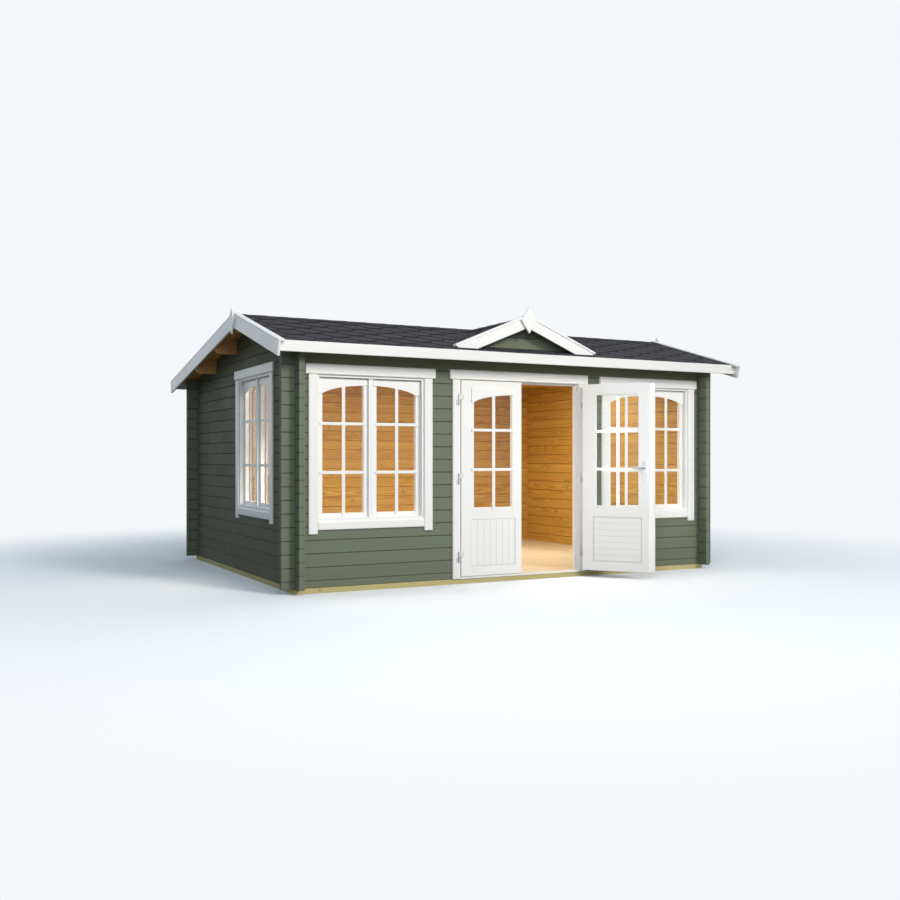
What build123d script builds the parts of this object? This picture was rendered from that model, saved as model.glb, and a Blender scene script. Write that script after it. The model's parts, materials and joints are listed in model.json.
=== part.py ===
from build123d import *
from math import cos, radians, sin, tan
import os

# Log cabin of interlocking wall logs with a double glazed door.
# Millimetres. X runs along the front, Y runs into the cabin, Z is up.
# The origin is on the ground at the centre of the wall footprint.

# Wall logs
log_thickness = 50
course_height = 114
half_log_height = 62
log_gap = 0.4
groove_chamfer = 5
cabin_width = 4440
cabin_depth = 3385
corner_projection = 115
notch_clearance = 0.3
seat_gap = 0.3
door_course_count = 16
lintel_height = 216.3
rear_wall_drop = 119.1

# Foundation and floor
beam_height = 45
beam_width = 70
floor_thickness = 18
floor_board_width = 120
floor_groove = 3
floor_edge_gap = 0.5
joist_count = 5
joist_width = 70

# Roof
front_pitch = 16.1
rear_pitch = 10
roof_board_thickness = 18
shingle_thickness = 5
gable_overhang = 240
front_overhang = 250
rear_overhang = 177
purlin_width = 45
purlin_height = 146
purlin_shares = (0.303, 0.632)
purlin_end_bevel = 38

# Roof trim
fascia_thickness = 18
fascia_height = 94
barge_thickness = 20
barge_height = 125
barge_nose = 64
cover_width = 63
cover_thickness = 13
kite_top = 60
kite_length = 250
kite_width = 164
kite_thickness = 18

# Small gable over the door
cross_projection = 132
cross_pitch = 22.5
cross_drop = 12
cross_reach = 12
cross_board_thickness = 16
cross_barge_height = 102
cross_cover_height = 23
cross_cover_depth = 64
cross_cover_nose = 6
cross_cover_end = 20
cross_kite_top = 91

# Casing boards round doors and windows
casing_thickness = 18
head_thickness = 24
head_height = 89.5
head_overhang = 28
casing_chamfer = 6

# Windows
window_centre_share = 0.5405
side_window_share = 0.339
window_first_course = 4
window_course_count = 12
window_width_share = 0.684
window_casing_lap = 62
window_casing_width = 83
window_casing_drop = 64
window_board_drop = 29
window_board_height = 71
window_head_drop = 75
frame_stop_depth = 42
frame_depth = 66
window_frame_width = 40
sash_inset = 23
sash_rebate = 5
window_sill_height = 71
window_stop_head = 94
sash_rail_below_stop = 27
mullion_width = 45
mullion_setback = 18
sash_thickness = 40
sash_stile = 59
sash_meeting_stile = 62
sash_bottom_rail = 65
sash_top_rail = 75
glass_thickness = 4
bar_thickness = 10
window_bar_width = 30
crossbar_height = 26
window_bar_shares = (0.313, 0.689)
bar_overlap = 28
arch_board_inset = 19
bar_end_inset = 14
arch_board_top_gap = 8
arch_board_height = 129
arch_span_inset = 10
arch_drop = 42
arch_rise = 117

# Double door
door_head_drop = 71
door_opening_width = 1380
door_casing_lap = 39
door_casing_width = 80
leaf_thickness = 40
leaf_proud = 2
leaf_side_gap = 5.5
leaf_meeting_gap = 7
leaf_bottom = 24
leaf_head_gap = 5.5
hinge_stile = 130
lock_stile = 101
top_rail = 105
glass_bottom = 646
panel_bottom = 114
panel_top = 539
panel_hinge_margin = 104
panel_lock_margin = 70
panel_recess = 4
panel_board_count = 7
panel_groove = 2.5
door_arch_top_margin = 35
door_arch_board_height = 132
door_arch_span_inset = 110
door_arch_drop = 20
door_arch_rise = 100
door_bar_shares = (0.33, 0.672)
threshold_height = 18
threshold_nose = 12
door_stop_width = 17
door_stop_gap = 3
hinge_axis_offset = 27
hinge_radius = 6.5
hinge_sides = 12
hinge_length = 90
hinge_plate_length = 24
hinge_plate_thickness = 2.5
hinge_shares = (0.1, 0.498, 0.9)
right_open_angle = 130
astragal_width = 20
astragal_lip = 48
astragal_thickness = 15
astragal_rebate = 5.8
handle_height = 1012
handle_backset = 41
handle_plate = (40, 200, 5)
handle_plate_drop = 36
handle_neck_radius = 8
handle_neck_length = 42
lever_length = 118
lever_radius = 9
latch_plate = (18, 150, 1.5)

# Derived places shared by the pieces
half_width = cabin_width / 2
front_y = -cabin_depth / 2
back_y = cabin_depth / 2
wall_bottom = beam_height
door_head_top = wall_bottom + half_log_height + door_course_count * course_height
front_wall_height = door_head_top + lintel_height
rear_wall_height = front_wall_height - rear_wall_drop
front_slope = tan(radians(front_pitch))
rear_slope = tan(radians(rear_pitch))
ridge_setback = (rear_slope * cabin_depth - rear_wall_drop) / (front_slope + rear_slope)
ridge_height = front_wall_height + front_slope * ridge_setback
ridge_y = front_y + ridge_setback
cross_slope = tan(radians(cross_pitch))
gable_x = half_width + gable_overhang
roof_half_width = gable_x - barge_thickness - seat_gap
front_edge_y = front_y - front_overhang
rear_edge_y = back_y + rear_overhang
boards_rise = roof_board_thickness / cos(radians(front_pitch))
shingle_rise = shingle_thickness / cos(radians(front_pitch))
shingle_top = ridge_height + boards_rise + shingle_rise + 2 * seat_gap
door_half = door_opening_width / 2
door_casing_half = door_half + door_casing_lap
door_casing_inner = door_casing_half - door_casing_width
leaf_width = door_casing_inner - leaf_side_gap - leaf_meeting_gap / 2
casing_face_y = front_y - seat_gap - casing_thickness
leaf_face_y = casing_face_y - leaf_proud
door_casing_top = door_head_top - door_head_drop
leaf_top = door_casing_top - leaf_head_gap
hinge_axis_x = door_casing_inner - leaf_side_gap + hinge_axis_offset
hinge_axis_y = leaf_face_y - hinge_radius - seat_gap
leaf_height = leaf_top - wall_bottom - leaf_bottom
hinge_heights = [leaf_bottom + share * leaf_height for share in hinge_shares]
cross_half_width = door_casing_half + cross_reach
wall_beside_door = half_width - door_half
window_offset = door_half + window_centre_share * wall_beside_door
window_half = window_width_share * wall_beside_door / 2
window_stop_half = window_half - window_frame_width
window_sash_half = window_half - sash_inset


def box(low, high):
    """Solid box between two corners."""
    size = [b - a for a, b in zip(low, high)]
    return Pos(*low) * Box(*size, align=(Align.MIN, Align.MIN, Align.MIN))


def prism_x(points, start, end):
    """Outline of (y, z) points drawn out along X."""
    outline = Plane.YZ * Polygon(*points, align=None)
    return Pos(start, 0, 0) * extrude(outline, amount=end - start, dir=(1, 0, 0))


def prism_y(points, start, end):
    """Outline of (x, z) points drawn out along Y."""
    outline = Plane.XZ * Polygon(*points, align=None)
    return Pos(0, start, 0) * extrude(outline, amount=end - start, dir=(0, 1, 0))


def solids_of(shape):
    """The separate solids of a shape, a list of shapes or a boolean result."""
    if isinstance(shape, (list, tuple, ShapeList)):
        return [solid for item in shape for solid in solids_of(item)]
    return list(shape.solids())


def write(name, *shapes):
    """One STEP file per named piece."""
    pieces = solids_of(list(shapes))
    body = pieces[0] if len(pieces) == 1 else Compound(children=pieces)
    body.label = name
    export_step(body, f"parts/{name}.step")


def log_profile(bottom, top):
    """Log section with chamfered edges: two neighbours make a V joint on both faces."""
    low, high = bottom + log_gap / 2, top - log_gap / 2
    c, t = groove_chamfer, log_thickness
    return [(c, low), (t - c, low), (t, low + c), (t, high - c),
            (t - c, high), (c, high), (0, high - c), (0, low + c)]


def courses(first_height, ceiling):
    """Bottom and top of each course, from the foundation beam up past the ceiling."""
    levels = [wall_bottom, wall_bottom + first_height]
    while levels[-1] < ceiling:
        levels.append(levels[-1] + course_height)
    return list(zip(levels, levels[1:]))


front_courses = courses(half_log_height, front_wall_height)
back_courses = courses(half_log_height, rear_wall_height)
side_courses = courses(half_log_height + course_height / 2, ridge_height - 2 * groove_chamfer)


def neck(course, crossing):
    """Height range a log keeps where it crosses the other wall: each overlap is shared in halves."""
    low, high = course
    for other in crossing:
        bottom, top = max(course[0], other[0]), min(course[1], other[1])
        if bottom < top and other[1] < course[1]:
            low = max(low, (bottom + top) / 2 + log_gap / 2)
        elif bottom < top:
            high = min(high, (bottom + top) / 2 - log_gap / 2)
    return low, high


def notch(log, course, crossing, spot_low, spot_high):
    """Cut the corner notches, over and under the neck, in the footprint of the crossing wall."""
    low, high = neck(course, crossing)
    if low > course[0]:
        log -= box((*spot_low, course[0] - 1), (*spot_high, low))
    if high < course[1]:
        log -= box((*spot_low, high), (*spot_high, course[1] + 1))
    return log


def front_or_back_log(course, outer_y, inward):
    """Full log of the front or back wall, notched over both side walls."""
    reach = half_width + corner_projection
    y0 = min(outer_y, outer_y + inward * log_thickness)
    log = Pos(0, y0, 0) * prism_x(log_profile(*course), -reach, reach)
    for side in (-1, 1):
        outer = side * (half_width + notch_clearance)
        inner = side * (half_width - log_thickness - notch_clearance)
        spot_low = (min(outer, inner), y0 - 1)
        spot_high = (max(outer, inner), y0 + log_thickness + 1)
        log = notch(log, course, side_courses, spot_low, spot_high)
    return log


def side_log(course, outer_x, inward):
    """Full log of a side wall, notched over the front and back walls."""
    reach = back_y + corner_projection
    x0 = min(outer_x, outer_x + inward * log_thickness)
    log = Pos(x0, 0, 0) * prism_y(log_profile(*course), -reach, reach)
    for outer_y, way, crossing in ((front_y, 1, front_courses), (back_y, -1, back_courses)):
        outer = outer_y - way * notch_clearance
        inner = outer_y + way * (log_thickness + notch_clearance)
        spot_low = (x0 - 1, min(outer, inner))
        spot_high = (x0 + log_thickness + 1, max(outer, inner))
        log = notch(log, course, crossing, spot_low, spot_high)
    return log


def roof_line(y, apex):
    """Height at depth y of a surface parallel to the roof that peaks at apex."""
    if y < ridge_y:
        return apex - front_slope * (ridge_y - y)
    return apex - rear_slope * (y - ridge_y)


def room_under_roof():
    """Everything below the roof boards, for cutting walls and gables."""
    apex = ridge_height - seat_gap
    far = cabin_depth
    points = [(-far, 0), (far, 0), (far, roof_line(far, apex)), (ridge_y, apex),
              (-far, roof_line(-far, apex))]
    return prism_x(points, -cabin_width, cabin_width)


def above_front_roof():
    """Everything above the shingles of the front slope, for seating the small gable."""
    apex = shingle_top + seat_gap
    high = 2 * ridge_height
    far = -cabin_depth
    points = [(far, roof_line(far, apex)), (ridge_y, apex), (ridge_y, high), (far, high)]
    return prism_x(points, -cabin_width, cabin_width)


under_roof = room_under_roof()
over_front_roof = above_front_roof()


def opening_box(x_low, x_high, z_low, z_high, outer_y):
    """Cutter for a doorway or window in a wall that runs along X."""
    reach = 2 * log_thickness
    return box((x_low, outer_y - reach, z_low), (x_high, outer_y + reach, z_high))


def window_levels(course_list):
    """Bottom and top of a window opening: it takes whole courses of its wall."""
    bottom = course_list[window_first_course + 1][0]
    return bottom, bottom + window_course_count * course_height


def purlin_profile(setback):
    """Purlin section: level below, bevelled to the roof boards above."""
    y0 = front_y + setback
    y1 = y0 + purlin_width
    apex = ridge_height - seat_gap
    bottom = roof_line(y0, apex) - purlin_height
    return [(y0, bottom), (y1, bottom), (y1, roof_line(y1, apex)), (y0, roof_line(y0, apex))]


def ridge_purlin_profile():
    """Ridge purlin section: level below, peaked under both slopes."""
    y0, y1 = ridge_y - purlin_width / 2, ridge_y + purlin_width / 2
    apex = ridge_height - seat_gap
    bottom = apex - purlin_height
    return [(y0, bottom), (y1, bottom), (y1, roof_line(y1, apex)), (ridge_y, apex),
            (y0, roof_line(y0, apex))]


def purlin(points):
    """Purlin through both gables, with its overhanging ends cut back underneath."""
    reach = gable_x - barge_thickness - seat_gap
    beam = prism_x(points, -reach, reach)
    y0, bottom = points[0]
    for side in (-1, 1):
        tip = [(side * reach, bottom), (side * (reach - purlin_end_bevel), bottom),
               (side * reach, bottom + purlin_end_bevel)]
        beam -= prism_y(tip, y0 - 1, y0 + purlin_width + 1)
    return beam


def purlin_pocket(points):
    """Clearance round a purlin where it passes through a gable."""
    y_low, y_high = points[0][0] - notch_clearance, points[1][0] + notch_clearance
    bottom = points[0][1] - notch_clearance
    return box((-cabin_width, y_low, bottom), (cabin_width, y_high, ridge_height))


rear_run = cabin_depth - ridge_setback
purlin_profiles = [ridge_purlin_profile()]
purlin_profiles += [purlin_profile(ridge_setback + share * rear_run) for share in purlin_shares]


def write_foundation():
    """Impregnated beams under the four walls, and joists between them."""
    front = box((-half_width, front_y, 0), (half_width, front_y + beam_width, beam_height))
    back = mirror(front, Plane.XZ)
    start = front_y + beam_width + seat_gap
    left = box((-half_width, start, 0), (-half_width + beam_width, -start, beam_height))
    right = mirror(left, Plane.YZ)
    spacing = (cabin_width - 2 * beam_width) / (joist_count + 1)
    joists = []
    for k in range(joist_count):
        x0 = -half_width + beam_width + spacing * (k + 1) - joist_width / 2
        joists.append(box((x0, start, 0), (x0 + joist_width, -start, beam_height)))
    write("foundation_beams", front, back, left, right, *joists)


def write_floor():
    """Grooved floor boards inside the walls, lying on beams and joists."""
    half_x = half_width - log_thickness - floor_edge_gap
    half_y = back_y - log_thickness - floor_edge_gap
    bottom = beam_height + seat_gap
    slab = box((-half_x, -half_y, bottom), (half_x, half_y, bottom + floor_thickness))
    groove_bottom = bottom + floor_thickness - floor_groove
    y = -half_y + floor_board_width
    while y < half_y - floor_groove:
        points = [(y - floor_groove, bottom + floor_thickness), (y, groove_bottom),
                  (y + floor_groove, bottom + floor_thickness)]
        slab -= prism_x(points, -half_x - 1, half_x + 1)
        y += floor_board_width
    write("floor_boards", slab)


def write_front_wall():
    """Front wall: beside the doorway left and right, and over it."""
    window_low, window_high = window_levels(front_courses)
    door = opening_box(-door_half, door_half, 0, door_head_top, front_y)
    windows = [opening_box(side * window_offset - window_half, side * window_offset + window_half,
                           window_low, window_high, front_y) for side in (-1, 1)]
    left, right, top = [], [], []
    for course in front_courses:
        log = front_or_back_log(course, front_y, 1)
        if course[0] >= door_head_top:
            top += solids_of(log & under_roof)
            continue
        for piece in solids_of(log - door):
            rest = piece
            if window_low <= course[0] < window_high:
                rest = piece - windows[0] - windows[1]
            (left if piece.center().X < 0 else right).extend(solids_of(rest))
    write("front_wall_left", *left)
    write("front_wall_right", *right)
    write("front_wall_top", *top)


def write_back_wall():
    """Back wall of unbroken logs."""
    logs = [front_or_back_log(course, back_y, -1) & under_roof for course in back_courses]
    write("back_wall", *logs)


def write_side_walls():
    """Side walls up to the eave, and the gables over them, pierced by the purlins."""
    pockets = [purlin_pocket(points) for points in purlin_profiles]
    window_low, window_high = window_levels(side_courses)
    window_y = front_y + side_window_share * cabin_depth
    for name, outer_x, inward in (("left", -half_width, 1), ("right", half_width, -1)):
        wall, gable = [], []
        for course in side_courses:
            log = side_log(course, outer_x, inward) & under_roof
            for pocket in pockets:
                log -= pocket
            if name == "left" and window_low <= course[0] < window_high:
                log -= box((outer_x - log_thickness, window_y - window_half, window_low),
                           (outer_x + 2 * log_thickness, window_y + window_half, window_high))
            (wall if course[0] < window_high else gable).extend(solids_of(log))
        write(f"{name}_wall", *wall)
        write(f"{name}_gable", *gable)


def slope_slab(lower_apex, thickness_rise, edge_y, half_x):
    """Sheet on one slope, from the ridge joint to its eave edge."""
    way = -1 if edge_y < ridge_y else 1
    joint = ridge_y + way * seat_gap
    points = [(joint, roof_line(joint, lower_apex)), (edge_y, roof_line(edge_y, lower_apex)),
              (edge_y, roof_line(edge_y, lower_apex) + thickness_rise),
              (joint, roof_line(joint, lower_apex) + thickness_rise)]
    return prism_x(points, -half_x, half_x)


def write_roof():
    """Roof boards and shingles of both slopes, and the purlins under them."""
    boards_apex = ridge_height
    shingles_apex = ridge_height + boards_rise + seat_gap
    inset = fascia_thickness + seat_gap
    for name, edge_y in (("front", front_edge_y + inset), ("rear", rear_edge_y - inset)):
        write(f"{name}_roof_boards", slope_slab(boards_apex, boards_rise, edge_y, roof_half_width))
        write(f"{name}_shingles", slope_slab(shingles_apex, shingle_rise, edge_y, roof_half_width))
    write("purlins", *[purlin(points) for points in purlin_profiles])


def write_fascias():
    """Eave boards in front and behind, closed off by the barge boards."""
    boards = []
    for edge_y, way in ((front_edge_y, 1), (rear_edge_y, -1)):
        inner_y = edge_y + way * fascia_thickness
        top = roof_line(inner_y, shingle_top)
        points = [(edge_y, top - fascia_height), (inner_y, top - fascia_height), (inner_y, top),
                  (edge_y, roof_line(edge_y, shingle_top))]
        boards.append(prism_x(points, -roof_half_width, roof_half_width))
    write("eave_fascias", *boards)


def barge_pair(side):
    """Barge boards and cover strips of one main gable: plumb at the ridge, square at the eave."""
    pieces = []
    outer = side * gable_x
    cover_apex = shingle_top + seat_gap + cover_thickness
    shapes = ((shingle_top - barge_height, shingle_top, barge_thickness),
              (shingle_top + seat_gap, cover_apex, cover_width))
    ends = ((-1, front_edge_y - barge_nose, front_pitch), (1, rear_edge_y + barge_nose, rear_pitch))
    for way, tip_y, pitch in ends:
        joint = ridge_y + way * seat_gap / 2
        lean = way * sin(radians(pitch)) * cos(radians(pitch))
        for low_apex, high_apex, depth in shapes:
            low_end = tip_y - lean * (cover_apex - low_apex)
            high_end = tip_y - lean * (cover_apex - high_apex)
            points = [(joint, roof_line(joint, low_apex)), (low_end, roof_line(low_end, low_apex)),
                      (high_end, roof_line(high_end, high_apex)), (joint, roof_line(joint, high_apex))]
            inner = outer - side * depth
            pieces.append(prism_x(points, min(outer, inner), max(outer, inner)))
    return pieces


def kite_points(apex):
    """Kite outline of a finial as (across, height) points."""
    middle = apex - kite_length / 2
    return [(0, apex), (kite_width / 2, middle), (0, apex - kite_length), (-kite_width / 2, middle)]


def write_gable_trim():
    """Barge boards with cover strips on the left and right gables."""
    write("left_barge_boards", *barge_pair(-1))
    write("right_barge_boards", *barge_pair(1))


def cross_line(x, apex):
    """Height at x of a surface parallel to the small gable's roof."""
    return apex - cross_slope * abs(x)


def cross_slab(side, low_apex, high_apex, x_end, y_start, y_end):
    """Sheet or board on one slope of the small gable, seated on the main roof."""
    joint = side * seat_gap / 2
    end = side * x_end
    points = [(joint, cross_line(joint, low_apex)), (end, cross_line(end, low_apex)),
              (end, cross_line(end, high_apex)), (joint, cross_line(joint, high_apex))]
    return prism_y(points, y_start, y_end) & over_front_roof


cross_shingle_top = shingle_top - cross_drop
cross_rise = 1 / cos(radians(cross_pitch))
cross_boards_top = cross_shingle_top - shingle_thickness * cross_rise - seat_gap
cross_boards_bottom = cross_boards_top - cross_board_thickness * cross_rise
cross_face_y = front_y - cross_projection
cross_back_y = cross_face_y + barge_thickness


def write_cross_gable():
    """Small gable over the door: log triangle, boards, shingles, barge boards and strips."""
    triangle = [(-half_width, cross_line(half_width, cross_boards_bottom - seat_gap)),
                (0, cross_boards_bottom - seat_gap),
                (half_width, cross_line(half_width, cross_boards_bottom - seat_gap))]
    y0, y1 = front_y - log_thickness, front_y + 2 * log_thickness
    field = prism_y(triangle, y0, y1) & over_front_roof
    logs = []
    for course in courses(half_log_height, cross_boards_bottom):
        log = Pos(0, front_y, 0) * prism_x(log_profile(*course), -half_width, half_width)
        if course[1] > roof_line(front_y, shingle_top):
            logs += solids_of(log & field)
    write("cross_gable_logs", *logs)

    start = cross_back_y + seat_gap
    boards, shingles, trim = [], [], []
    for side in (-1, 1):
        boards.append(cross_slab(side, cross_boards_bottom, cross_boards_top,
                                 cross_half_width, start, ridge_y))
        shingles.append(cross_slab(side, cross_boards_top + seat_gap, cross_shingle_top,
                                   cross_half_width, start, ridge_y))
        trim.append(cross_slab(side, cross_shingle_top - cross_barge_height, cross_shingle_top,
                               cross_half_width, cross_face_y, cross_back_y))
        cover_low = cross_shingle_top + seat_gap
        trim.append(cross_slab(side, cover_low, cover_low + cross_cover_height,
                               cross_half_width + cross_cover_end,
                               cross_face_y - cross_cover_nose,
                               cross_face_y - cross_cover_nose + cross_cover_depth))
    write("cross_roof_boards", *boards)
    write("cross_shingles", *shingles)
    write("cross_barge_boards", *trim)


def write_finials():
    """Kites on the three gable peaks."""
    kites = []
    for side in (-1, 1):
        outer = side * (gable_x + seat_gap)
        outline = [(ridge_y + a, z) for a, z in kite_points(shingle_top + kite_top)]
        far = outer + side * kite_thickness
        kites.append(prism_x(outline, min(outer, far), max(outer, far)))
    back = cross_face_y - cross_cover_nose - seat_gap
    outline = kite_points(cross_shingle_top + cross_kite_top + seat_gap)
    kites.append(prism_y(outline, back - kite_thickness, back))
    write("gable_finials", *kites)


def casing_board(low, high):
    """Trim board with its front edges eased."""
    board = box(low, high)
    front_edges = board.faces().sort_by(Axis.Y)[0].edges()
    return chamfer(front_edges, casing_chamfer)


def casing(half, width, bottom, side_top, top, board=None):
    """Casing boards on the outer wall face at y = 0: sides, overhanging head, bottom board."""
    back = -seat_gap
    front = back - casing_thickness
    pieces = []
    for side in (-1, 1):
        low_x, high_x = sorted((side * half, side * (half - width)))
        pieces.append(casing_board((low_x, front, bottom), (high_x, back, side_top - seat_gap)))
    reach = half + head_overhang
    pieces.append(casing_board((-reach, back - head_thickness, side_top), (reach, back, top)))
    if board:
        inner = half - width - seat_gap
        pieces.append(casing_board((-inner, front, board[0]), (inner, back, board[1])))
    return pieces


def window_frame(low, high):
    """Window frame in the wall opening: jambs, sill, head and mullion, each rebated for the sashes."""
    half = window_half - seat_gap
    sill, head = low + window_sill_height, high - window_stop_head
    rebate_half = window_sash_half + sash_rebate
    rebate_sill = sill - sash_rail_below_stop - sash_rebate
    rebate_head = head + sash_rail_below_stop + sash_rebate
    bottom, top = low + seat_gap, high - seat_gap
    pieces = []
    for side in (-1, 1):
        x0, x1 = sorted((side * window_stop_half, side * half))
        jamb = box((x0, 0, bottom), (x1, frame_depth, top))
        r0, r1 = sorted((side * window_stop_half, side * rebate_half))
        pieces.append(jamb - box((r0, frame_stop_depth, bottom - 1), (r1, frame_depth + 1, top + 1)))
    inner = window_stop_half - seat_gap
    pieces.append(box((-inner, 0, bottom), (inner, frame_stop_depth, sill))
                  + box((-inner, frame_stop_depth, bottom), (inner, frame_depth, rebate_sill)))
    pieces.append(box((-inner, 0, head), (inner, frame_stop_depth, top))
                  + box((-inner, frame_stop_depth, rebate_head), (inner, frame_depth, top)))
    half_mullion = mullion_width / 2
    pieces.append(box((-half_mullion, mullion_setback, sill + seat_gap),
                      (half_mullion, frame_stop_depth - seat_gap, head - seat_gap)))
    return pieces


def window_sash_pair(low, high):
    """Two sashes, their glass, and the bars and half arch boards laid on each."""
    sill, head = low + window_sill_height, high - window_stop_head
    bottom, top = sill - sash_rail_below_stop, head + sash_rail_below_stop
    y0 = frame_stop_depth + seat_gap
    y1 = y0 + sash_thickness
    sashes, panes, bars = [], [], []
    for side in (-1, 1):
        x0, x1 = sorted((side * seat_gap, side * window_sash_half))
        g0, g1 = sorted((side * sash_meeting_stile, side * (window_sash_half - sash_stile)))
        glass_low, glass_high = bottom + sash_bottom_rail, top - sash_top_rail
        sashes += [box((x0, y0, bottom), (g0, y1, top)), box((g1, y0, bottom), (x1, y1, top)),
                   box((g0 + seat_gap, y0, bottom), (g1 - seat_gap, y1, glass_low)),
                   box((g0 + seat_gap, y0, glass_high), (g1 - seat_gap, y1, top))]
        pane_y = (y0 + y1 - glass_thickness) / 2
        panes.append(box((g0 + seat_gap, pane_y, glass_low + seat_gap),
                         (g1 - seat_gap, pane_y + glass_thickness, glass_high - seat_gap)))
        inner_end = mullion_width / 2 + arch_board_top_gap
        outer_end = window_sash_half - arch_board_inset
        a0, a1 = sorted((side * inner_end, side * outer_end))
        face, back = frame_stop_depth - bar_thickness, frame_stop_depth
        board_high = head - arch_board_top_gap
        board_low = board_high - arch_board_height
        board = box((a0, face, board_low), (a1, back, board_high))
        grid = board - arch_cutter(0, board_low - arch_drop, outer_end - arch_span_inset, arch_rise, back)
        middle = (g0 + g1) / 2
        grid += box((middle - window_bar_width / 2, face, glass_low - bar_overlap),
                    (middle + window_bar_width / 2, back, board_high))
        for share in window_bar_shares:
            b0, b1 = sorted((side * (inner_end + bar_end_inset), side * (outer_end - bar_end_inset)))
            level = glass_low + share * (glass_high - glass_low)
            grid += box((b0, face, level - crossbar_height / 2),
                        (b1, back, level + crossbar_height / 2))
        bars.append(grid)
    return sashes, panes, bars


def arch_cutter(centre_x, spring_z, half_span, rise, back):
    """Half-oval cutter under an arch board whose back is at y = back."""
    oval = Plane.XZ * (Pos(centre_x, spring_z) * Ellipse(half_span, rise))
    return Pos(0, back - 2 * bar_thickness, 0) * extrude(oval, amount=3 * bar_thickness, dir=(0, 1, 0))


def write_window(name, places, wall_courses):
    """A double window, built facing front at x = 0 and put in its wall at each place."""
    low, high = window_levels(wall_courses)
    sashes, panes, bars = window_sash_pair(low, high)
    board_bottom = low - window_board_drop
    boards = casing(window_half + window_casing_lap, window_casing_width, low - window_casing_drop,
                    high - window_head_drop, high - window_head_drop + head_height,
                    (board_bottom, board_bottom + window_board_height))
    parts = {"casing": boards, "frame": window_frame(low, high), "sashes": sashes + bars,
             "glass": panes}
    for part, pieces in parts.items():
        write(f"{name}_{part}", *[place * piece for place in places for piece in pieces])


def write_windows():
    """Two alike windows in the front wall and one in the left side wall."""
    front_places = [Pos(side * window_offset, front_y, 0) for side in (-1, 1)]
    write_window("front_windows", front_places, front_courses)
    side_place = Pos(-half_width, front_y + side_window_share * cabin_depth, 0) * Rot(0, 0, -90)
    write_window("side_window", [side_place], side_courses)


def write_door_surround():
    """Door casing, rebated frame and the threshold under it."""
    place = Pos(0, front_y, 0)
    bottom = wall_bottom + seat_gap
    sill = bottom + threshold_height
    boards = casing(door_casing_half, door_casing_width, bottom, door_casing_top,
                    door_casing_top + head_height)
    write("door_casing", *[place * piece for piece in boards])

    half = door_half - seat_gap
    stop_half = door_casing_inner - door_stop_width
    rebate_depth = leaf_face_y + leaf_thickness + door_stop_gap - front_y
    head_rebate = door_casing_top + leaf_head_gap
    stop_head = door_casing_top - door_stop_width
    top = door_head_top - seat_gap
    frame = []
    for side in (-1, 1):
        x0, x1 = sorted((side * stop_half, side * half))
        r0, r1 = sorted((side * (stop_half - 1), side * door_casing_inner))
        jamb = box((x0, 0, sill + seat_gap), (x1, frame_depth, top))
        frame.append(jamb - box((r0, -1, sill), (r1, rebate_depth, top + 1)))
    inner = stop_half - seat_gap
    head = box((-inner, 0, stop_head), (inner, frame_depth, top))
    frame.append(head - box((-inner - 1, -1, stop_head - 1), (inner + 1, rebate_depth, head_rebate)))
    threshold = box((-half, 0, bottom), (half, log_thickness, sill))
    nose = door_casing_inner - seat_gap
    threshold += box((-nose, -threshold_nose, bottom), (nose, 0, sill))
    write("door_frame", *[place * piece for piece in frame + [threshold]])


def leaf_frame():
    """Stiles and rails of a leaf: x from the hinge edge, y from the outer face inwards."""
    bottom = wall_bottom + leaf_bottom
    panel = box((panel_hinge_margin, -1, wall_bottom + panel_bottom),
                (leaf_width - panel_lock_margin, leaf_thickness + 1, wall_bottom + panel_top))
    lock_edge = leaf_width - lock_stile
    stiles = [box((0, 0, bottom), (hinge_stile, leaf_thickness, leaf_top)) - panel,
              box((lock_edge, 0, bottom), (leaf_width, leaf_thickness, leaf_top)) - panel]
    levels = ((bottom, wall_bottom + panel_bottom),
              (wall_bottom + panel_top, wall_bottom + glass_bottom), (leaf_top - top_rail, leaf_top))
    rails = [box((hinge_stile + seat_gap, 0, low), (lock_edge - seat_gap, leaf_thickness, high))
             for low, high in levels]
    return stiles + rails


def leaf_panel():
    """Lower panel: upright board joints outside, level ones inside."""
    x0, x1 = panel_hinge_margin + seat_gap, leaf_width - panel_lock_margin - seat_gap
    z0, z1 = wall_bottom + panel_bottom + seat_gap, wall_bottom + panel_top - seat_gap
    y0, y1 = panel_recess, leaf_thickness - panel_recess
    panel = box((x0, y0, z0), (x1, y1, z1))
    g = panel_groove
    for k in range(1, panel_board_count):
        x = x0 + (x1 - x0) * k / panel_board_count
        cut = Plane.XY * Polygon((x - g, y0), (x, y0 + g), (x + g, y0), align=None)
        panel -= Pos(0, 0, z0 - 1) * extrude(cut, amount=z1 - z0 + 2, dir=(0, 0, 1))
        z = z0 + (z1 - z0) * k / panel_board_count
        panel -= prism_x([(y1, z - g), (y1 - g, z), (y1, z + g)], x0 - 1, x1 + 1)
    return panel


def leaf_glass():
    """Single pane held between the stiles."""
    y0 = (leaf_thickness - glass_thickness) / 2
    return box((hinge_stile + seat_gap, y0, wall_bottom + glass_bottom + seat_gap),
               (leaf_width - lock_stile - seat_gap, y0 + glass_thickness,
                leaf_top - top_rail - seat_gap))


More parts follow.
